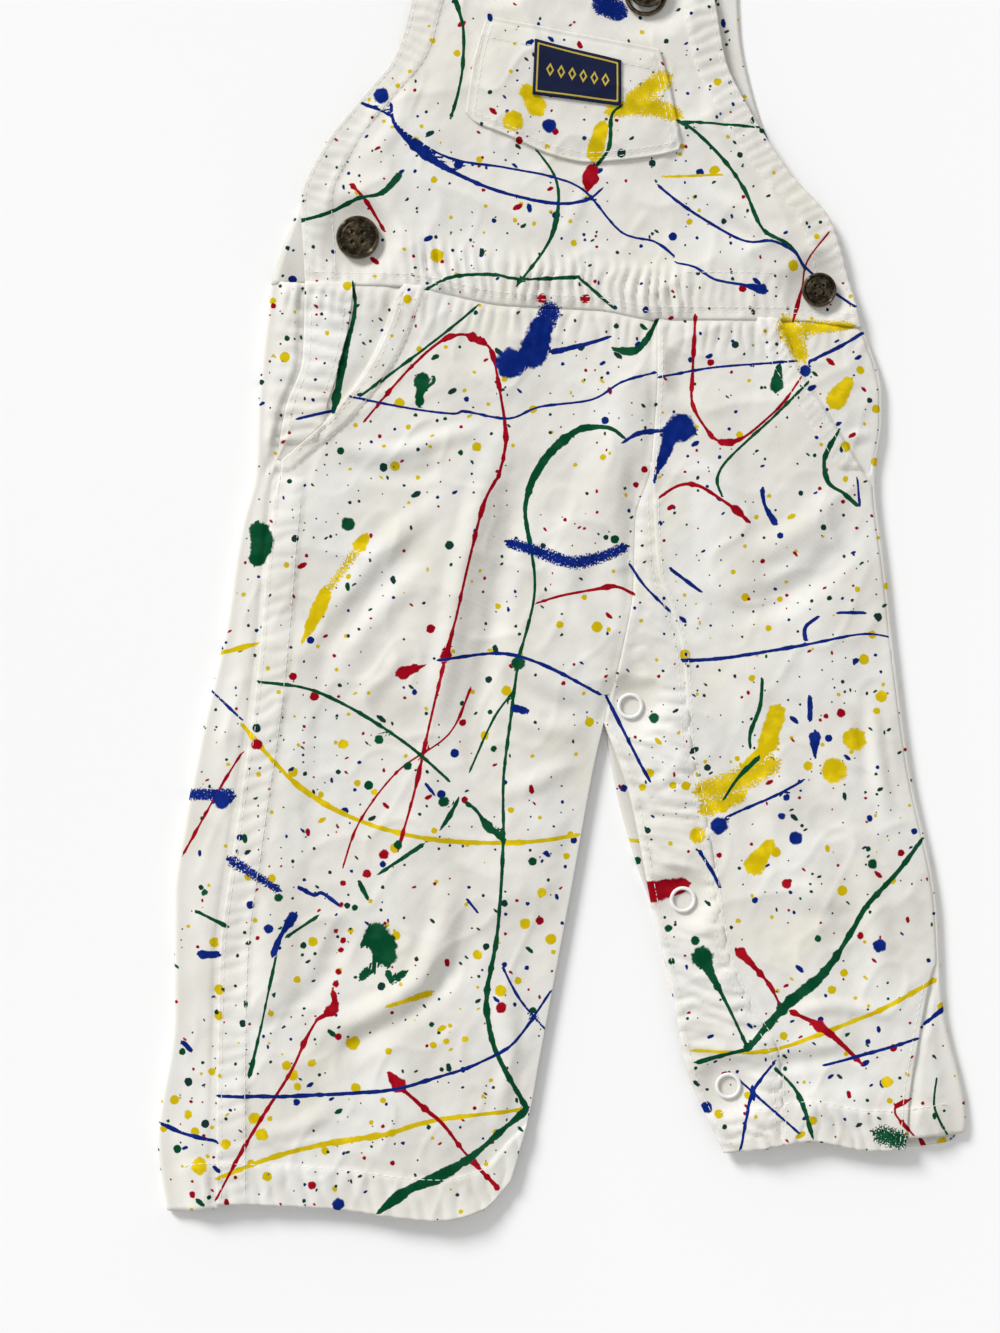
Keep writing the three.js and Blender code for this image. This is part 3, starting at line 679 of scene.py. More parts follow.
# --- Meshes ----------------------------------------------------------------------------------

def make_mesh(name, points, faces, material):
    """A smooth piece that rides on the body, from points in millimetres."""
    mesh = bpy.data.meshes.new(name)
    mesh.from_pydata((np.asarray(points, float) * MM).tolist(), [], faces)
    mesh.validate()
    mesh.polygons.foreach_set("use_smooth", np.ones(len(mesh.polygons), bool))
    mesh.materials.append(material)
    piece = bpy.data.objects.new(name, mesh)
    bpy.context.scene.collection.objects.link(piece)
    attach(piece, "root")
    return piece


def stand_in(name, node, points, faces, material):
    """A hard piece that stands for a node of the frame."""
    piece = make_mesh(name, points, faces, material)
    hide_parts(node)


def ring_faces(rings, sides, start=0, closed=False, flip=False):
    """Faces between rings of points that follow each other."""
    faces = []
    for i in range(rings if closed else rings - 1):
        here, there = start + i * sides, start + (i + 1) % rings * sides
        for j in range(sides):
            k = (j + 1) % sides
            face = [here + j, here + k, there + k, there + j]
            faces.append([face[0], *face[:0:-1]] if flip else face)
    return faces


def grid_faces(rows, columns, start=0, flip=False):
    i, j = np.meshgrid(np.arange(rows - 1), np.arange(columns - 1), indexing="ij")
    a = (start + i * columns + j).ravel()
    corners = [a, a + 1, a + columns + 1, a + columns]
    return np.stack(corners[::-1] if flip else corners, axis=1)


def cut_size(points):
    """Width, length and area in metres of the flat cloth that a grid of points was cut from."""
    across = np.linalg.norm(np.diff(points, axis=1), axis=2)
    along = np.linalg.norm(np.diff(points, axis=0), axis=2)
    a = np.cross(points[1:, :-1] - points[:-1, :-1], points[:-1, 1:] - points[:-1, :-1])
    b = np.cross(points[1:, :-1] - points[1:, 1:], points[:-1, 1:] - points[1:, 1:])
    area = 0.5 * (np.linalg.norm(a, axis=2) + np.linalg.norm(b, axis=2)).sum() * MM * MM
    width, length = across.sum(axis=1).max() * MM, along.sum(axis=0).max() * MM
    return width, length, min(area, width * length)


def cloth(node, points, out, material, thick=THICK, painted=True):
    """A closed sheet over a grid of points, which stands for a node of the frame."""
    outward = np.broadcast_to(out, points.shape)
    across = points[0, 1] - points[0, 0]
    onward = points[1, 0] - points[0, 0]
    if np.dot(np.cross(across, onward), outward[0, 0]) > 0:
        points, outward = points[:, ::-1], outward[:, ::-1]
    rows, columns = points.shape[:2]
    outer = points + outward * thick
    count = rows * columns
    index = np.arange(count).reshape(rows, columns)
    rim = np.concatenate([index[0, :-1], index[:-1, -1], index[-1, :0:-1], index[:0:-1, 0]])
    after = np.roll(rim, -1)
    sides = np.stack([after, rim, rim + count, after + count], axis=1)
    faces = np.concatenate([
        grid_faces(rows, columns), grid_faces(rows, columns, count, flip=True), sides])
    both = np.concatenate([points.reshape(-1, 3), outer.reshape(-1, 3)])
    piece = make_mesh("cloth_" + node, both, faces.tolist(), material)
    if painted:
        # the print of the hidden back is the front's, turned over
        x = np.where(both[:, 2] > CLOTH + 0.1, both[:, 0], PRINT_TURN_X - both[:, 0])
        for colour in PAINT:
            attribute = piece.data.attributes.new("paint_" + colour, "FLOAT_VECTOR", "POINT")
            attribute.data.foreach_set("vector", paint(x, both[:, 1], colour).ravel())
    width, length, area = cut_size(points)
    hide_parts(node)
    return piece


def corner(side, across):
    """Where a side edge meets an edge that runs across, by going from one to the other."""
    y = float(across(0.0))
    for _ in range(30):
        y = float(across(float(side(y))))
    return float(side(y)), y


def row_places(left, right, above, below, rows, columns):
    """Places between two side edges, from the top edge to the bottom one."""
    top_left, top_right = corner(left, above), corner(right, above)
    low_left, low_right = corner(left, below), corner(right, below)
    x0 = left(mix(top_left[1], low_left[1], rows))[:, None]
    x1 = right(mix(top_right[1], low_right[1], rows))[:, None]
    high = above(mix(top_left[0], top_right[0], columns))[None, :]
    low = below(mix(low_left[0], low_right[0], columns))[None, :]
    return mix(x0, x1, columns[None, :]), mix(high, low, rows[:, None])


def leg_places(left, right, hem, columns, upper, lower, start=0.0):
    """Places on a leg piece, from part of the way between waist and crotch down to the hem."""
    columns = np.linspace(0, 1, columns)
    high = row_places(left, right, waist, crotch, np.linspace(start, 1, upper), columns)
    low = row_places(left, right, crotch, hem, np.linspace(0, 1, lower)[1:], columns)
    x, y = (np.concatenate([a, b]) for a, b in zip(high, low))
    if start == 0:
        y[0] -= INSET
    return x, y


def hip_places(left, right, columns, rows, end):
    """Places on a piece at the hip, from the waist down to part of the way to the crotch."""
    rows, columns = np.linspace(0, end, rows), np.linspace(0, 1, columns)
    x, y = row_places(left, right, waist, crotch, rows, columns)
    y[0] -= INSET
    return x, y


LAP = 1.7  # that the lower piece of a seam goes on under the upper one
LAP_DROP = 0.5
FREE_LAP = 0.02  # share of the lap that an edge keeps where nothing lies on it


def lap(points, edge, share=1.0):
    """The grid of points with one more row or column, tucked under the piece beside it."""
    columns = points.transpose(1, 0, 2)
    grid = {"top": points, "left": columns, "right": columns[::-1]}[edge]
    away = grid[0] - grid[1]
    away[:, 2] = 0
    away = away / np.linalg.norm(away, axis=1)[:, None]
    share = np.broadcast_to(share, len(away))[:, None]
    hidden = grid[0] + share * (LAP * away - [0, 0, LAP_DROP])
    grid = np.concatenate([hidden[None], grid])
    if edge == "top":
        return grid
    return (grid if edge == "left" else grid[::-1]).transpose(1, 0, 2)


def on_front(x, y):
    return np.stack([x, y, under(x, y)], axis=-1)


def front_right_side(y):
    joined = mix(side_seam_right(y), mouth_right(OPENING_Y), smooth(y, 0, OPENING_Y))
    return np.where(y > OPENING_Y, mouth_right(y), joined) + INSET


def front_right_inner(y):
    return np.where(y > PLACKET_Y, centre_front(y), inner_right(y)) - INSET


def front_left_inner(y):
    return np.where(y > PLACKET_Y, centre_front(y), placket_inner(y)) + INSET


FOLD_LEFT = FOLD + 0.6  # from the outline at the left hip to the seam on the fold
FOLD_LAP = 0.9  # that the front goes on over that seam
FOLD_DIP = 0.24  # that its edge there sinks into the fold
FOLD_DIP_START = 3.2  # from the outline, where it starts to sink
SLIVER = 0.3  # width of a piece's pointed end


def left_seam(y):
    at_fold = outline_right(y) - FOLD_LEFT
    return np.where(y < SEAM_TURN_Y, np.minimum(side_seam_left(y), at_fold), at_fold)


def front_left_side(y):
    on_fold = left_seam(y) + mix(-INSET, FOLD_LAP, smooth(y, SEAM_TURN_Y - 6, SEAM_TURN_Y + 4))
    return np.where(y > MOUTH_END_Y, mouth_left(y) - INSET, on_fold)


def placket_left(y):
    upper = np.minimum(inner_right(y) + INSET, placket_inner(y) - INSET - SLIVER)
    return np.where(y > ABOVE_CROTCH_Y, upper, placket_outer(y))


def side_placket_inner(y):
    line = np.where(y > POCKET_Y, np.minimum(placket_line(y), mouth_right(y)), mouth_right(y))
    return line - INSET - GAP


def make_front(twill):
    legs = {
        "front_leg_R": leg_places(front_right_side, front_right_inner, hem_right, 126, 150, 172),
        "front_leg_L": leg_places(front_left_inner, front_left_side, hem_left, 74, 150, 156),
        "inseam_placket_front_L": leg_places(
            placket_left, moved(placket_inner, -INSET), hem_left, 22, 96, 156, PLACKET_TOP),
        "side_placket_R": hip_places(side_edge_right, side_placket_inner, 18, 64, HIP_END),
        "hip_piece_R": hip_places(
            lambda y: np.minimum(placket_line(y), mouth_right(y) - SLIVER - INSET),
            moved(mouth_right, -INSET), 16, 48, POCKET_END),
        "hip_piece_L": hip_places(
            moved(mouth_left, INSET), moved(outline_right, FOLD_LAP - FOLD_LEFT), 26, 60, HIP_END),
    }
    # the right leg's inner edge is free below the crotch, and the side placket's above the mouth
    shares = {
        "front_leg_R": lambda y: smooth(y, CROTCH_Y, CROTCH_Y + 6),
        "side_placket_R": lambda y: smooth(y, 42, 36),
    }
    tucked = {
        "front_leg_R": ["right"],
        "side_placket_R": ["right"],
        "inseam_placket_front_L": ["right"],
        "hip_piece_R": ["left", "right"],
        "hip_piece_L": ["left"],
    }
    for node, (x, y) in legs.items():
        points = on_front(x, y)
        if node in ("front_leg_L", "hip_piece_L"):
            sunk = smooth(outline_right(y) - x, FOLD_DIP_START, FOLD_LEFT - FOLD_LAP)
            points[..., 2] -= FOLD_DIP * sunk
        for edge in tucked.get(node, []):
            share = shares[node](y[:, -1]) if node in shares else 1.0
            points = lap(points, edge, share + FREE_LAP)
        points = lap(points, "top")
        cloth(node, points, (0, 0, 1), twill)
    x, y = row_places(bib_left, bib_right, bib_top, waist_up,
                      np.linspace(0, 1, 132), np.linspace(0, 1, 190))
    cloth("bib_front", on_front(x, y), (0, 0, 1), twill)


# --- Back ------------------------------------------------------------------------------------

BACK_PLACKET = 12  # width of the back half of the snap placket
SEAM_DIP = 0.9  # that the back leg sinks under the front at the side seam
OPENING_DIP = 1.8  # the same at the open part above the right seam
FOLD_SEAM_DIP = 0.2  # the same where the left seam lies on the fold


def back_placket_inner(y):
    width = np.where(y > ABOVE_CROTCH_Y, 1.5, BACK_PLACKET)
    line = np.maximum(centre_back(np.maximum(y, CROTCH_Y)), placket_outer(np.minimum(y, CROTCH_Y)))
    return line + width


def back_right_inner(y):
    return np.where(y > ABOVE_CROTCH_Y, centre_back(y) - INSET, inner_right(y) - 1.5)


def back_left_inner(y):
    return np.where(y > SPLIT_Y, centre_back(y) + INSET, back_placket_inner(y))


def back_right_seam(y):
    return np.where(y > OPENING_Y, side_edge_right(y) - GAP, front_right_side(y) - INSET)


def back_leg(node, way, x, y, seam, dip, twill):
    """A back leg lies on the floor out to the side fold, and comes back over the top. At the
    seam there it dips under the front."""
    floor = np.stack([x, y, np.full(x.shape, THICK)], axis=-1)
    floor_out = np.broadcast_to([0.0, 0.0, -1.0], floor.shape)
    edge_x, edge_y = x[:, -1], y[:, -1]
    slope = (edge_y - y[:, 0]) / (edge_x - x[:, 0])
    angle = np.radians(np.linspace(-70, 70, 9))
    out = np.stack([way * np.cos(angle), np.zeros(9), np.sin(angle)], axis=-1)
    centre = np.stack([edge_x, edge_y, np.full(edge_x.shape, FOLD)], axis=-1)
    turn_out = np.broadcast_to(out, (len(edge_x), 9, 3))
    turn = centre[:, None] + turn_out * (FOLD - THICK)
    t = np.linspace(0, 1, 16)
    upper_x = mix(edge_x[:, None], (seam(edge_y) + way * INSET)[:, None], t)
    upper_y = edge_y[:, None] + slope[:, None] * (upper_x - edge_x[:, None])
    upper = on_front(upper_x, upper_y)
    # the first points follow the turn, and the rest the front
    upper[..., 2] = mix(2 * FOLD - THICK, upper[..., 2], smooth(t, 0, 0.5))
    to_seam = np.abs(upper_x - upper_x[:, -1:])
    upper[..., 2] -= dip(edge_y)[:, None] * smooth(to_seam, 4, 0.5)
    upper = lap(upper, "right")
    upper_out = np.broadcast_to([0.0, 0.0, 1.0], upper.shape)
    points = np.concatenate([floor, turn, upper], axis=1)
    outward = np.concatenate([floor_out, turn_out, upper_out], axis=1)
    # what lies on top goes on under the back bib
    points = lap(points, "top", np.where(outward[0, :, 2] > 0.5, 1, FREE_LAP))
    outward = np.concatenate([outward[:1], outward])
    cloth(node, points, outward, twill)


def make_back(twill):
    x, y = leg_places(back_right_inner, moved(outline_left, FOLD), hem_right, 56, 100, 110)
    back_leg("back_leg_R", -1, x, y, back_right_seam,
             lambda at: mix(SEAM_DIP, OPENING_DIP, smooth(at, OPENING_Y, OPENING_Y + 12)), twill)
    x, y = leg_places(back_left_inner, moved(outline_right, -FOLD), hem_left, 50, 100, 110)
    back_leg("back_leg_L", 1, x, y, left_seam,
             lambda at: mix(SEAM_DIP, FOLD_SEAM_DIP, smooth(at, SEAM_TURN_Y - 10, SEAM_TURN_Y + 4)),
             twill)
    x, y = row_places(back_bib_left, back_bib_right, back_bib_top, waist_up,
                      np.linspace(0, 1, 90), np.linspace(0, 1, 96))
    lift = 0.25 * ripple(x, 5, noise(x, y, 12, 8)) * smooth(y - waist(x), 26, 8)
    # it rises to the side fold of the leg below it
    lift += (2 * FOLD - THICK) * smooth(x, -109, -120) * smooth(y - waist(x), 34, 1)
    cloth("back_bib", np.stack([x, y, lift], axis=-1), (0, 0, 1), twill)
    x, y = leg_places(
        lambda at: np.where(at > ABOVE_CROTCH_Y, centre_back(at) + INSET, back_placket_outer(at)),
        moved(back_placket_inner, -GAP), hem_left, 12, 20, 150, BACK_PLACKET_TOP)
    flat = np.stack([x, y, np.zeros(x.shape)], axis=-1)
    cloth("inseam_placket_back_L", flat, (0, 0, 1), twill)


# --- Bib pocket and label --------------------------------------------------------------------

pocket_left = down([(-31, 203), (-36, 187), (-40, 163)])
pocket_right = down([(41, 189), (45, 175), (50, 150)])
pocket_mouth = curve([(-31, 203), (41, 189)])
pocket_low = curve([(-40, 163), (-36, 159), (-24, 154), (0, 144), (12, 142),
                    (27, 143), (49, 147), (50, 150)])
POCKET_HEM = 9
LABEL_CORNERS = [(-11, 193), (25, 184), (25, 165), (-12, 170)]
LABEL_WIDTH = 37.1  # along its upper edge
LABEL_THICK = 0.7


def pocket_under(x, y):
    inside = np.minimum(x - pocket_left(y), pocket_right(y) - x)
    inside = np.minimum(np.minimum(inside, pocket_mouth(x) - y), y - pocket_low(x))
    inside = np.maximum(inside, 0)
    hem = smooth(pocket_mouth(x) - y, POCKET_HEM + 0.8, POCKET_HEM - 0.8)
    puff = 0.9 * smooth(inside, 1, 12) - 0.3 * smooth(np.abs(inside - 1.8), 1.2, 0)
    return top(x, y) + GAP + puff + 0.3 * hem + 0.1 * noise(x, y, 6, 9)


def make_pocket(twill, woven):
    x, y = row_places(pocket_left, pocket_right, pocket_mouth, pocket_low,
                      np.linspace(0, 1, 66), np.linspace(0, 1, 92))
    cloth("bib_pocket", np.stack([x, y, pocket_under(x, y)], axis=-1), (0, 0, 1),
          twill)
    u, v = np.meshgrid(np.linspace(0, 1, 50), np.linspace(0, 1, 32))
    a, b, c, d = np.array(LABEL_CORNERS)
    flat = mix(mix(a, b, u[..., None]), mix(d, c, u[..., None]), v[..., None])
    x, y = flat[..., 0], flat[..., 1]
    base = pocket_under(x, y) + THICK + GAP
    label = cloth("chest_label", np.stack([x, y, base], axis=-1), (0, 0, 1), woven,
                  LABEL_THICK, painted=False)
    points = np.empty(len(label.data.vertices) * 3)
    label.data.vertices.foreach_get("co", points)
    points = points.reshape(-1, 3)[:, :2] / MM
    # how far each point is from the label's own edges, going round from the top
    to_top, to_right, to_low, to_left = (
        np.abs((q[0] - p[0]) * (points[:, 1] - p[1]) - (q[1] - p[1]) * (points[:, 0] - p[0]))
        / np.hypot(*(q - p)) for p, q in ((a, b), (b, c), (c, d), (d, a)))
    inside = np.minimum(np.minimum(to_top, to_right), np.minimum(to_low, to_left))
    place = np.stack([to_left, (to_low - to_top) / 2, inside], axis=-1)
    attribute = label.data.attributes.new("label_place", "FLOAT_VECTOR", "POINT")
    attribute.data.foreach_set("vector", place.ravel())


# --- Straps ----------------------------------------------------------------------------------

STRAP_WIDTH = 26
STRAP_FOLD_Y = {"R": 295, "L": 289}
STRAP_START = {"R": (-31, 280), "L": (53, 263)}
ALONG = np.array([math.sin(-TILT), math.cos(TILT), 0])
ACROSS = np.array([math.cos(TILT), math.sin(TILT), 0])
SLIDER_UP = 31
SLIDER = (32, 13)
STRAP_TURN = (FRONT + CLOTH) / 2


def make_strap(side, twill):
    start = np.array([*STRAP_START[side], 0]) + ALONG * GAP
    tip = start + ALONG * (STRAP_FOLD_Y[side] - STRAP_START[side][1]) / ALONG[1]
    end = np.array([*BIB_BUTTON[side], 0]) + ALONG * (SLIDER_UP - SLIDER[1] / 2)
    route, outward = [], []
    for t in np.linspace(0, 1, 16):
        route.append(mix(start, tip, t) + [0, 0, THICK])
        outward.append([0, 0, -1])
    for angle in np.radians(np.linspace(-75, 75, 9)):
        out = ALONG * math.cos(angle) + np.array([0, 0, math.sin(angle)])
        route.append(tip + [0, 0, STRAP_TURN] + out * (STRAP_TURN - THICK))
        outward.append(out)
    for t in np.linspace(0, 1, 44):
        route.append(mix(tip, end, t) + [0, 0, 2 * STRAP_TURN - THICK + LOFT * t])
        outward.append([0, 0, 1])
    offs = np.linspace(-STRAP_WIDTH / 2, STRAP_WIDTH / 2, 27)
    points = np.array(route)[:, None] + offs[None, :, None] * ACROSS
    outward = np.broadcast_to(np.array(outward, float)[:, None], points.shape)
    upper = np.array([out[2] > 0.9 for out in outward[:, 0]])
    edge = STRAP_WIDTH / 2 - np.abs(offs)
    swell = 0.35 * smooth(edge, 0, 1.5) - 0.3 * smooth(np.abs(edge - 3), 1, 0)
    points = points.copy()
    points[..., 2] += upper[:, None] * swell[None, :]
    cloth("strap_" + side, points, outward, twill)


# --- Stitches --------------------------------------------------------------------------------

STITCH_PITCH = 3.1
STITCH_LENGTH = 2.3
STITCH_R = 0.16
STITCH_UP = 0.03  # of a stitch's middle above the cloth
RINGS = [(-0.5, 0.25), (-0.28, 0.95), (0.28, 0.95), (0.5, 0.25)]
SIDES = 6


def stitch_points(line):
    """Middles and directions of the stitches on a line of points."""
    p = np.array(line, float)
    way = np.concatenate([[0], np.cumsum(np.hypot(*np.diff(p, axis=0).T))])
    at = np.arange(STITCH_PITCH / 2, way[-1], STITCH_PITCH)
    middle, ahead, behind = (
        np.stack([np.interp(at + step, way, p[:, k]) for k in (0, 1)], axis=-1)
        for step in (0, 0.5, -0.5))
    direction = ahead - behind
    return middle, direction / np.linalg.norm(direction, axis=1)[:, None]


def make_stitches(name, lines, height, material):
    """One joined mesh of short raised stitches that follow the cloth."""
    points, faces = [], []
    for line in lines:
        middle, direction = stitch_points(line)
        ends = [middle + direction * STITCH_LENGTH * at for at, _ in RINGS]
        heights = [height(end[:, 0], end[:, 1]) for end in ends]
        for k in range(len(middle)):
            side = np.array([-direction[k, 1], direction[k, 0], 0])
            start = len(points)
            for (_, size), end, high in zip(RINGS, ends, heights):
                for angle in np.arange(SIDES) * 2 * math.pi / SIDES:
                    off = side * math.cos(angle) + np.array([0, 0, math.sin(angle)])
                    centre = np.array([end[k, 0], end[k, 1], high[k] + STITCH_UP])
                    points.append(centre + off * STITCH_R * size)
            faces += ring_faces(len(RINGS), SIDES, start)
            faces.append([start + s for s in reversed(range(SIDES))])
            faces.append([start + (len(RINGS) - 1) * SIDES + s for s in range(SIDES)])
    piece = make_mesh(name, points, faces, material)


def sewn_down(edge, off, high, low, count=90):
    """A stitch line beside an edge that runs down the garment."""
    y = np.linspace(high, low, count)
    return list(zip(edge(y) + off, y))


def sewn_across(edge, off, left, right):
    """A stitch line beside an edge that runs across it."""
    x = np.linspace(left, right, 90)
    return list(zip(x, edge(x) + off))


def sew(thread):
    bib = [
        sewn_down(bib_left, 2, 240, 94), sewn_down(bib_left, BAND, 232, 94),
        sewn_down(bib_right, -2, 222, 78), sewn_down(bib_right, -BAND, 222, 78),
        sewn_across(waist, 3.4, -104, 123), sewn_across(waist, 5.4, -104, 123),
        sewn_across(waist, 20, 52, 88),
    ]
    legs = [
        sewn_down(side_seam_right, 2.2, 12, -290), sewn_down(side_seam_right, BAND - 1, 0, -290),
        sewn_down(mouth_right, 2.4, 84, 22), sewn_down(mouth_right, 9, 84, 24),
        sewn_down(mouth_left, -2.4, 72, 14), sewn_down(mouth_left, -9, 72, 16),
        sewn_down(centre_front, 2.2, 73, 12), sewn_down(placket_inner, 2.2, 4, -264),
        sewn_down(placket_inner, -2.2, 4, -264), sewn_down(placket_outer, 3, -96, -262),
        sewn_down(placket_line, -3, 86, 44), sewn_down(side_edge_right, 3, 86, 30),
        sewn_down(side_seam_left, -2.6, -200, -266),
        sewn_across(hem_right, HEM, -158, -20), sewn_across(hem_left, HEM, 66, 160),
    ]
    pocket = [sewn_down(pocket_left, off, 200, 165, 60) for off in (1.8, 3.8)]
    pocket += [sewn_down(pocket_right, -off, 187, 152, 60) for off in (1.8, 3.8)]
    pocket += [sewn_across(pocket_low, off, -37.5, 48.5) for off in (1.9, 3.9)]
    pocket.append(sewn_across(pocket_mouth, -POCKET_HEM, -30, 41))
    make_stitches("stitches_bib", bib, top, thread)
    make_stitches("stitches_legs", legs, top, thread)
    make_stitches("stitches_pocket", pocket, lambda x, y: pocket_under(x, y) + THICK, thread)


# --- Buttons, snaps and buckles --------------------------------------------------------------

def dish(radius, bottom, height):
    """A disc with a flat bottom, whose top's height comes from a point's distance and place."""
    rings, spokes = 44, 96
    angle = np.arange(spokes) * 2 * math.pi / spokes
    r = radius * np.linspace(0.02, 1, rings)
    x, y = r[:, None] * np.cos(angle), r[:, None] * np.sin(angle)
    z = height(np.broadcast_to(r[:, None], x.shape), x, y)
    upper = np.stack([x, y, z], axis=-1).reshape(-1, 3)
    lower = np.stack([x[-1], y[-1], np.full(spokes, bottom)], axis=-1)
    faces = ring_faces(rings + 1, spokes, flip=True)
    faces.append(list(range(spokes)))
    faces.append([rings * spokes + j for j in reversed(range(spokes))])
    return np.concatenate([upper, lower]), faces


def make_button(node, centre, radius, stem, metal):
    """A cast metal button: a thin raised rim, a nearly flat middle and four small holes."""
    cap = 2.6
    hole_at, hole_r = 0.34, 0.085  # in radii of the button

    def height(r, x, y):
        part = r / radius
        z = stem + cap - 0.8 + 0.6 * smooth(part, 0.80, 0.88) * smooth(part, 1.02, 0.94)
        z -= 0.28 * smooth(np.abs(part - 0.77), 0.05, 0.01)
        z += 0.15 * smooth(part, 0.7, 0.1)
        for quarter in range(4):
            turn = math.pi / 4 + quarter * math.pi / 2
            away_x, away_y = x / radius - hole_at * math.cos(turn), y / radius - hole_at * math.sin(turn)
            away = np.hypot(away_x, away_y)
            lip = 0.12 * smooth(np.abs(away - 1.6 * hole_r), 0.05, 0)
            z += lip - 0.7 * smooth(away, 1.2 * hole_r, 0.5 * hole_r)
        return z - 0.7 * smooth(part, 0.97, 1.0)

    points, faces = dish(radius, stem, height)
    points = points + [centre[0], centre[1], FRONT_TOP + GAP]
    stand_in(node + "_cast", node, points, faces, metal)


def make_snap(number, x, y, enamel):
    """An enamelled ring with a round section, which lies on the frame's front."""
    hole, high, spokes = 4.0, 1.3, 64
    middle, half = (hole + SNAP_R) / 2, (SNAP_R - hole) / 2
    section = np.radians(np.arange(0, 360, 22.5))[:, None]
    angle = np.arange(spokes) * 2 * math.pi / spokes
    slope = LOFT / LOFT_WIDTH * SNAP_R
    base = float(frame_under(np.array([x]), np.array([y]))[0]) + CLOTH + slope
    r = middle + half * np.cos(section)
    z = np.broadcast_to(high / 2 + high / 2 * np.sin(section), (len(section), spokes))
    ring = np.stack([r * np.cos(angle), r * np.sin(angle), z], axis=-1).reshape(-1, 3)
    node = f"ring_snap_{number}"
    faces = ring_faces(len(section), spokes, closed=True)
    stand_in(node + "_enamel", node, ring + [x, y, base], faces, enamel)


def tube(path, radius, closed):
    """Points and faces of a wire along a flat path."""
    sides = 14
    p = np.array(path, float)
    ahead = np.roll(p, -1, axis=0) if closed else np.concatenate([p[1:], p[-1:]])
    behind = np.roll(p, 1, axis=0) if closed else np.concatenate([p[:1], p[:-1]])
    direction = ahead - behind
    direction /= np.linalg.norm(direction, axis=1)[:, None]
    side = np.stack([-direction[:, 1], direction[:, 0]], axis=-1)
    angle = np.arange(sides) * 2 * math.pi / sides
    ring = p[:, None, :] + side[:, None, :] * (radius * np.cos(angle))[None, :, None]
    high = np.broadcast_to(radius * np.sin(angle), ring.shape[:2])
    points = np.concatenate([ring, high[..., None]], axis=-1).reshape(-1, 3)
    faces = ring_faces(len(p), sides, closed=closed)
    if not closed:
        faces.append(list(range(sides))[::-1])
        faces.append([(len(p) - 1) * sides + s for s in range(sides)])
    return points, faces


def make_buckle(side, metal):
    """A bent wire buckle: a slider frame with a middle bar, and a keyhole loop for the button."""
    wire = 0.9
    wide, high = SLIDER[0] / 2 - wire, SLIDER[1] / 2 - wire
    round_r = 2.5
    frame_path = []
    for cx, cy, start in ((1, 1, 0), (-1, 1, 90), (-1, -1, 180), (1, -1, 270)):
        for angle in np.radians(np.linspace(start, start + 90, 7)):
            frame_path.append((cx * (wide - round_r) + round_r * math.cos(angle),
                               SLIDER_UP + cy * (high - round_r) + round_r * math.sin(angle)))
    loop_r, neck = 9 - wire, 3.4
    half = rounded([(neck, SLIDER_UP - high), (neck, SLIDER_UP - high - 4), (5.6, 12), (7.6, 4)])
    turn = np.radians(np.arange(0, -181, -12))
    loop = half + [(loop_r * math.cos(a), -2.5 + loop_r * math.sin(a)) for a in turn]
    loop += [(-x, y) for x, y in half[::-1]]
    bar = [(-wide, SLIDER_UP), (0, SLIDER_UP), (wide, SLIDER_UP)]
    points, faces = [], []
    for path, closed in ((frame_path, True), (loop, False), (bar, False)):
        more, joined = tube(path, wire, closed)
        faces += [[index + len(points) for index in face] for face in joined]
        points += list(more)
    p = np.array(points)
    cx, cy = BIB_BUTTON[side]
    x = cx + p[:, 0] * math.cos(TILT) - p[:, 1] * math.sin(TILT)
    y = cy + p[:, 0] * math.sin(TILT) + p[:, 1] * math.cos(TILT)
    placed = np.stack([x, y, p[:, 2] + FRONT_TOP + GAP + wire], axis=-1)
    stand_in(f"buckle_{side}_wire", f"buckle_{side}", placed, faces, metal)


def make_hardware(metal, enamel):
    for side in "RL":
        make_button(f"side_button_{side}", SIDE_BUTTON[side], SIDE_BUTTON_R[side], 0.8, metal)
        make_button(f"bib_button_{side}", BIB_BUTTON[side], BIB_BUTTON_R, 2.1, metal)
        make_buckle(side, metal)
    for number, (x, y) in enumerate(SNAPS, start=1):
        make_snap(number, x, y, enamel)


# --- Materials -------------------------------------------------------------------------------

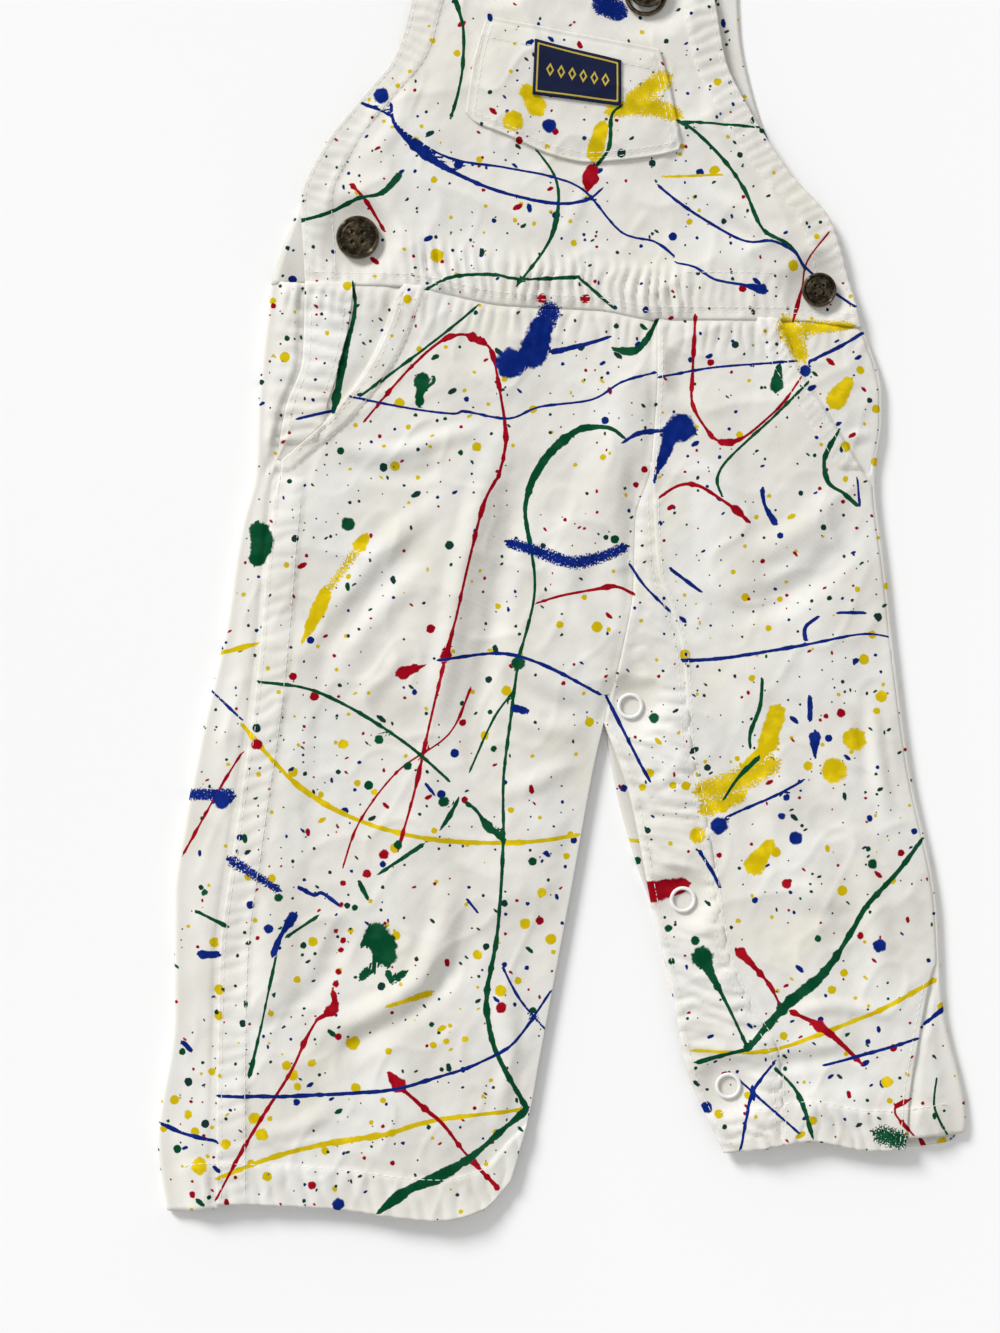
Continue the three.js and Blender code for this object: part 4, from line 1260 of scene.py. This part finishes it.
class Nodes:
    """Short calls that add nodes to a material."""

    def __init__(self, name):
        self.material = bpy.data.materials.new(name)
        self.material.use_nodes = True
        self.tree = self.material.node_tree
        self.shader = self.tree.nodes["Principled BSDF"]
        self.place = self.add("ShaderNodeTexCoord").outputs["Object"]

    def add(self, kind, **settings):
        node = self.tree.nodes.new(kind)
        for key, value in settings.items():
            setattr(node, key, value)
        return node

    def put(self, socket, value):
        if isinstance(value, bpy.types.NodeSocket):
            self.tree.links.new(value, socket)
        else:
            socket.default_value = value

    def math(self, operation, *values, clamp=False):
        node = self.add("ShaderNodeMath", operation=operation, use_clamp=clamp)
        for socket, value in zip(node.inputs, values):
            self.put(socket, value)
        return node.outputs[0]

    def times(self, a, b):
        return self.math("MULTIPLY", a, b)

    def plus(self, a, b):
        return self.math("ADD", a, b)

    def minus(self, a, b):
        return self.math("SUBTRACT", a, b)

    def ramp(self, value, low, high):
        """0 at low and 1 at high, with a soft step between."""
        node = self.add("ShaderNodeMapRange", interpolation_type="SMOOTHSTEP")
        self.put(node.inputs["Value"], value)
        self.put(node.inputs["From Min"], low)
        self.put(node.inputs["From Max"], high)
        return node.outputs["Result"]

    def mix(self, factor, a, b):
        node = self.add("ShaderNodeMix", data_type="RGBA")
        self.put(node.inputs[0], factor)
        self.put(node.inputs[6], a if isinstance(a, bpy.types.NodeSocket) else (*a, 1))
        self.put(node.inputs[7], b if isinstance(b, bpy.types.NodeSocket) else (*b, 1))
        return node.outputs[2]

    def stretched(self, x, y):
        node = self.add("ShaderNodeMapping")
        self.put(node.inputs["Vector"], self.place)
        node.inputs["Scale"].default_value = (x, y, 1)
        return node.outputs["Vector"]

    def shaken(self, scale, reach):
        """Places moved a little this way and that, for outlines that aren't quite round."""
        noise = self.add("ShaderNodeTexNoise")
        self.put(noise.inputs["Vector"], self.place)
        noise.inputs["Scale"].default_value = scale
        centred = self.add("ShaderNodeVectorMath", operation="SUBTRACT")
        self.put(centred.inputs[0], noise.outputs["Color"])
        centred.inputs[1].default_value = (0.5, 0.5, 0.5)
        added = self.add("ShaderNodeVectorMath", operation="MULTIPLY_ADD")
        self.put(added.inputs[0], centred.outputs[0])
        added.inputs[1].default_value = (reach, reach, reach)
        self.put(added.inputs[2], self.place)
        return added.outputs[0]

    def turned(self, vector, degrees, longer):
        """Places turned by an angle, where shapes come out longer along it."""
        node = self.add("ShaderNodeMapping", vector_type="TEXTURE")
        self.put(node.inputs["Vector"], vector)
        node.inputs["Rotation"].default_value = (0, 0, math.radians(degrees))
        node.inputs["Scale"].default_value = (longer, 1, 1)
        return node.outputs["Vector"]

    def noise(self, scale, detail, vector=None):
        node = self.add("ShaderNodeTexNoise")
        self.put(node.inputs["Vector"], vector or self.place)
        node.inputs["Scale"].default_value = scale
        node.inputs["Detail"].default_value = detail
        return node.outputs["Fac"]

    def wave(self, scale, direction, distortion):
        node = self.add("ShaderNodeTexWave", bands_direction=direction)
        self.put(node.inputs["Vector"], self.place)
        node.inputs["Scale"].default_value = scale
        node.inputs["Distortion"].default_value = distortion
        return node.outputs["Fac"]

    def attribute(self, name):
        node = self.add("ShaderNodeAttribute", attribute_name=name)
        parts = self.add("ShaderNodeSeparateXYZ")
        self.put(parts.inputs[0], node.outputs["Vector"])
        return parts.outputs

    def bump(self, height, strength, distance):
        node = self.add("ShaderNodeBump")
        node.inputs["Strength"].default_value = strength
        node.inputs["Distance"].default_value = distance
        self.put(node.inputs["Height"], height)
        self.put(self.shader.inputs["Normal"], node.outputs["Normal"])

    def shade(self, **sockets):
        """Fills the shader's sockets, which are named with _ for a space."""
        for name, value in sockets.items():
            self.put(self.shader.inputs[name.replace("_", " ")], value)
        return self.material


def paint_mask(nodes, colour, wobble, bristles):
    """Where a colour of the print is, with soaked edges and gaps where the brush was dry."""
    offset, outside, dry = nodes.attribute("paint_" + colour)
    wide = nodes.plus(nodes.math("ABSOLUTE", offset), nodes.times(wobble, 0.7))
    inside = nodes.ramp(wide, 1.14, 0.9)
    near = nodes.ramp(nodes.plus(outside, wobble), 0.75, 0.45)
    barer = nodes.math("MULTIPLY_ADD", nodes.times(offset, offset), 0.55, 0.78)
    spare = nodes.minus(nodes.plus(bristles, 0.14), nodes.times(dry, barer))
    kept = nodes.math("MULTIPLY", spare, 11.0, clamp=True)
    return nodes.times(nodes.times(inside, near), kept)


# Layers of specks: the pitch of the cells and the share of them that hold a drop, the least and
# most radius in mm, and how far the drops are turned, in degrees, and drawn out
YELLOW_SPECKS = (13, 0.3, 0.8, 2.3, 155, 1)
MIXED_SPECKS = [
    (4.7, 0.2, 0.34, 0.8, 0, 1),
    (12, 0.36, 0.7, 1.9, 70, 1),
    (10, 0.24, 0.5, 1.2, 28, 1.9),
    (10, 0.2, 0.45, 1.1, -40, 2.2),
    (12, 0.2, 0.5, 1.2, 100, 1.7),
]
SPECK_EDGE = 0.14  # in mm, to either side, that the edge of a drop soaks
CLUSTER_SCALE = 24  # of the noise that gathers the drops
CLUSTERED = 1.9  # that the share is multiplied by in the middle of a cluster


def specks(nodes, place, layer):
    """Scattered drops: a mask, and a number that is even over each drop."""
    pitch, share, smallest, largest, degrees, longer = layer
    node = nodes.add("ShaderNodeTexVoronoi", voronoi_dimensions="2D")
    nodes.put(node.inputs["Vector"], nodes.turned(place, degrees, longer))
    node.inputs["Scale"].default_value = 1 / (pitch * MM)
    parts = nodes.add("ShaderNodeSeparateColor")
    nodes.put(parts.inputs[0], node.outputs["Color"])
    chance, number, size = parts.outputs
    radius = nodes.times(nodes.math("POWER", size, 3.0), (largest - smallest) / pitch)
    radius = nodes.plus(radius, smallest / pitch)
    outside = nodes.minus(node.outputs["Distance"], radius)
    mask = nodes.ramp(outside, SPECK_EDGE / pitch, -SPECK_EDGE / pitch)
    clusters = nodes.ramp(nodes.noise(CLUSTER_SCALE, 1, node.outputs["Position"]), 0.3, 0.66)
    chosen = nodes.math("LESS_THAN", chance, nodes.times(clusters, CLUSTERED * share))
    return nodes.times(mask, chosen), number


def speck_colour(nodes, number):
    """The colour of a drop from its number."""
    node = nodes.add("ShaderNodeValToRGB")
    node.color_ramp.interpolation = "CONSTANT"
    looks = [(0, (0.006, 0.035, 0.03)), (0.3, PAINT_COLOURS["blue"]), (0.58, PAINT_COLOURS["red"]),
             (0.78, PAINT_COLOURS["green"]), (0.94, PAINT_COLOURS["yellow"])]
    stops = node.color_ramp.elements
    while len(stops) < len(looks):
        stops.new(0.5)
    for stop, (place, colour) in zip(stops, looks):
        stop.position = place
        stop.color = (*colour, 1)
    nodes.put(node.inputs[0], number)
    return node.outputs[0]


def twill_weave(nodes):
    """Diagonal ribs with uneven yarn in them."""
    ribs = nodes.wave(210, "DIAGONAL", 1.2)
    yarn = nodes.noise(1500, 2)
    slub = nodes.noise(1.0, 2, nodes.stretched(900, 260))
    uneven = nodes.plus(nodes.times(yarn, 0.5), nodes.times(slub, 0.4))
    return nodes.plus(nodes.times(ribs, 0.35), uneven)


def printed_twill():
    nodes = Nodes("printed_twill")
    worn = nodes.ramp(nodes.noise(26, 3), 0.35, 0.7)
    colour = nodes.mix(worn, (0.735, 0.715, 0.655), (0.775, 0.765, 0.725))
    cream = nodes.ramp(nodes.noise(34, 4), 0.52, 0.78)
    colour = nodes.mix(nodes.times(cream, 0.42), colour, (0.74, 0.70, 0.57))
    weave = twill_weave(nodes)
    colour = nodes.mix(nodes.times(weave, 0.12), colour, (0.60, 0.585, 0.54))
    shaken = nodes.shaken(700, 0.9 * MM)
    mask, _ = specks(nodes, shaken, YELLOW_SPECKS)
    colour = nodes.mix(mask, colour, PAINT_COLOURS["yellow"])
    for layer in MIXED_SPECKS:
        mask, number = specks(nodes, shaken, layer)
        colour = nodes.mix(mask, colour, speck_colour(nodes, number))
    wobble = nodes.minus(nodes.noise(420, 2), 0.5)
    bristles = nodes.noise(1.0, 3, nodes.stretched(1450, 1150))
    thin = nodes.ramp(nodes.noise(150, 3), 0.42, 0.7)
    for name, paint_colour in PAINT_COLOURS.items():
        mask = paint_mask(nodes, name, wobble, bristles)
        lighter = tuple(min(1, 1.3 * value + 0.004) for value in paint_colour)
        colour = nodes.mix(mask, colour, nodes.mix(thin, paint_colour, lighter))
    nodes.bump(weave, 0.5, 0.00022)
    return nodes.shade(Base_Color=colour, Roughness=0.92, Specular_IOR_Level=0.05)


def cotton_thread():
    nodes = Nodes("cotton_thread")
    ply = nodes.wave(420, "DIAGONAL", 0.5)
    colour = nodes.mix(nodes.times(ply, 0.4), (0.86, 0.85, 0.81), (0.76, 0.745, 0.69))
    nodes.bump(ply, 0.4, 0.0001)
    return nodes.shade(Base_Color=colour, Roughness=0.7)


def woven_label():
    """Navy damask with a thin gold border and a row of small diamonds."""
    nodes = Nodes("woven_label")
    x, above, inside = nodes.attribute("label_place")
    border = nodes.ramp(nodes.math("ABSOLUTE", nodes.minus(inside, 1.6)), 0.42, 0.25)
    pitch = LABEL_WIDTH / 8
    across = nodes.math("ABSOLUTE", nodes.minus(nodes.math("PINGPONG", x, pitch), pitch / 2))
    reach = nodes.plus(across, nodes.times(nodes.math("ABSOLUTE", above), 0.6))
    row = nodes.times(nodes.ramp(reach, 1.75, 1.6), nodes.ramp(reach, 0.8, 0.95))
    from_middle = nodes.math("ABSOLUTE", nodes.minus(x, LABEL_WIDTH / 2))
    row = nodes.times(row, nodes.math("LESS_THAN", from_middle, 3 * pitch))
    gold = nodes.math("MAXIMUM", border, row)
    yarn = nodes.wave(700, "Y", 0.4)
    navy = nodes.mix(yarn, (0.004, 0.007, 0.030), (0.010, 0.018, 0.062))
    bright = nodes.mix(yarn, (0.50, 0.36, 0.035), (0.64, 0.50, 0.09))
    nodes.bump(nodes.plus(yarn, nodes.times(gold, 1.5)), 0.6, 0.0002)
    colour = nodes.mix(gold, navy, bright)
    return nodes.shade(Base_Color=colour, Roughness=0.8, Specular_IOR_Level=0.15)


def antique_bronze():
    nodes = Nodes("antique_bronze")
    stain = nodes.noise(420, 4)
    colour = nodes.mix(nodes.ramp(stain, 0.38, 0.66), (0.018, 0.014, 0.009), (0.095, 0.072, 0.042))
    geometry = nodes.add("ShaderNodeNewGeometry")
    # painted highlight: the convex rims and edges of buttons and wire get a lighter bronze colour
    edge = nodes.ramp(geometry.outputs["Pointiness"], 0.51, 0.6)
    colour = nodes.mix(nodes.times(edge, 0.7), colour, (0.30, 0.235, 0.15))
    rough = nodes.plus(nodes.times(stain, 0.25), 0.3)
    nodes.bump(nodes.noise(1300, 3), 0.25, 0.0001)
    return nodes.shade(Base_Color=colour, Metallic=0.9, Roughness=rough)


def snap_enamel():
    nodes = Nodes("snap_enamel")
    chips = nodes.ramp(nodes.noise(900, 4), 0.66, 0.72)
    tone = nodes.mix(nodes.noise(300, 2), (0.80, 0.80, 0.78), (0.88, 0.88, 0.87))
    colour = nodes.mix(chips, tone, (0.42, 0.42, 0.41))
    nodes.bump(nodes.noise(1100, 2), 0.12, 0.0001)
    return nodes.shade(Base_Color=colour, Roughness=0.34, Coat_Weight=0.3)


# --- Floor and light -------------------------------------------------------------------------

def make_floor():
    nodes = Nodes("floor")
    tone = nodes.mix(nodes.noise(3, 2), (0.93, 0.93, 0.93), (0.95, 0.95, 0.95))
    half, low = 6.0, -0.0002
    mesh = bpy.data.meshes.new("floor")
    mesh.from_pydata([(-half, -half, low), (half, -half, low), (half, half, low), (-half, half, low)],
                     [], [(0, 1, 2, 3)])
    mesh.materials.append(nodes.shade(Base_Color=tone, Roughness=0.9, Specular_IOR_Level=0.0))
    floor = bpy.data.objects.new("floor", mesh)
    bpy.context.scene.collection.objects.link(floor)


def make_light():
    scene = bpy.context.scene
    scene.view_settings.view_transform = "Standard"
    world = bpy.data.worlds.new("studio")
    world.use_nodes = True
    tree = world.node_tree
    tree.nodes["Background"].inputs["Color"].default_value = (1.0, 1.0, 1.0, 1)
    # brighter by the horizon, where it lights the walls of things and little else
    place = tree.nodes.new("ShaderNodeTexCoord")
    parts = tree.nodes.new("ShaderNodeSeparateXYZ")
    fade = tree.nodes.new("ShaderNodeMapRange")
    tree.links.new(place.outputs["Generated"], parts.inputs[0])
    tree.links.new(parts.outputs[2], fade.inputs["Value"])
    tree.links.new(fade.outputs["Result"], tree.nodes["Background"].inputs["Strength"])
    for name, value in (("From Min", 0.1), ("From Max", 0.35), ("To Min", 0.95), ("To Max", 0.54)):
        fade.inputs[name].default_value = value
    scene.world = world
    key = bpy.data.lights.new("key", "SUN")
    key.energy = 2.75
    key.angle = math.radians(20)
    lamp = bpy.data.objects.new("key", key)
    elevation, azimuth = math.radians(31), math.radians(132)
    flat = math.cos(elevation)
    aim = (flat * math.cos(azimuth), flat * math.sin(azimuth), math.sin(elevation))
    lamp.rotation_euler = (math.pi / 2 - elevation, 0, azimuth + math.pi / 2)
    lamp.location = aim
    scene.collection.objects.link(lamp)


# --- The whole -------------------------------------------------------------------------------


def main():
    make_floor()
    make_light()
    twill = printed_twill()
    thread = cotton_thread()
    metal = antique_bronze()
    make_back(twill)
    make_front(twill)
    make_pocket(twill, woven_label())
    for side in "RL":
        make_strap(side, twill)
    sew(thread)
    make_hardware(metal, snap_enamel())


main()
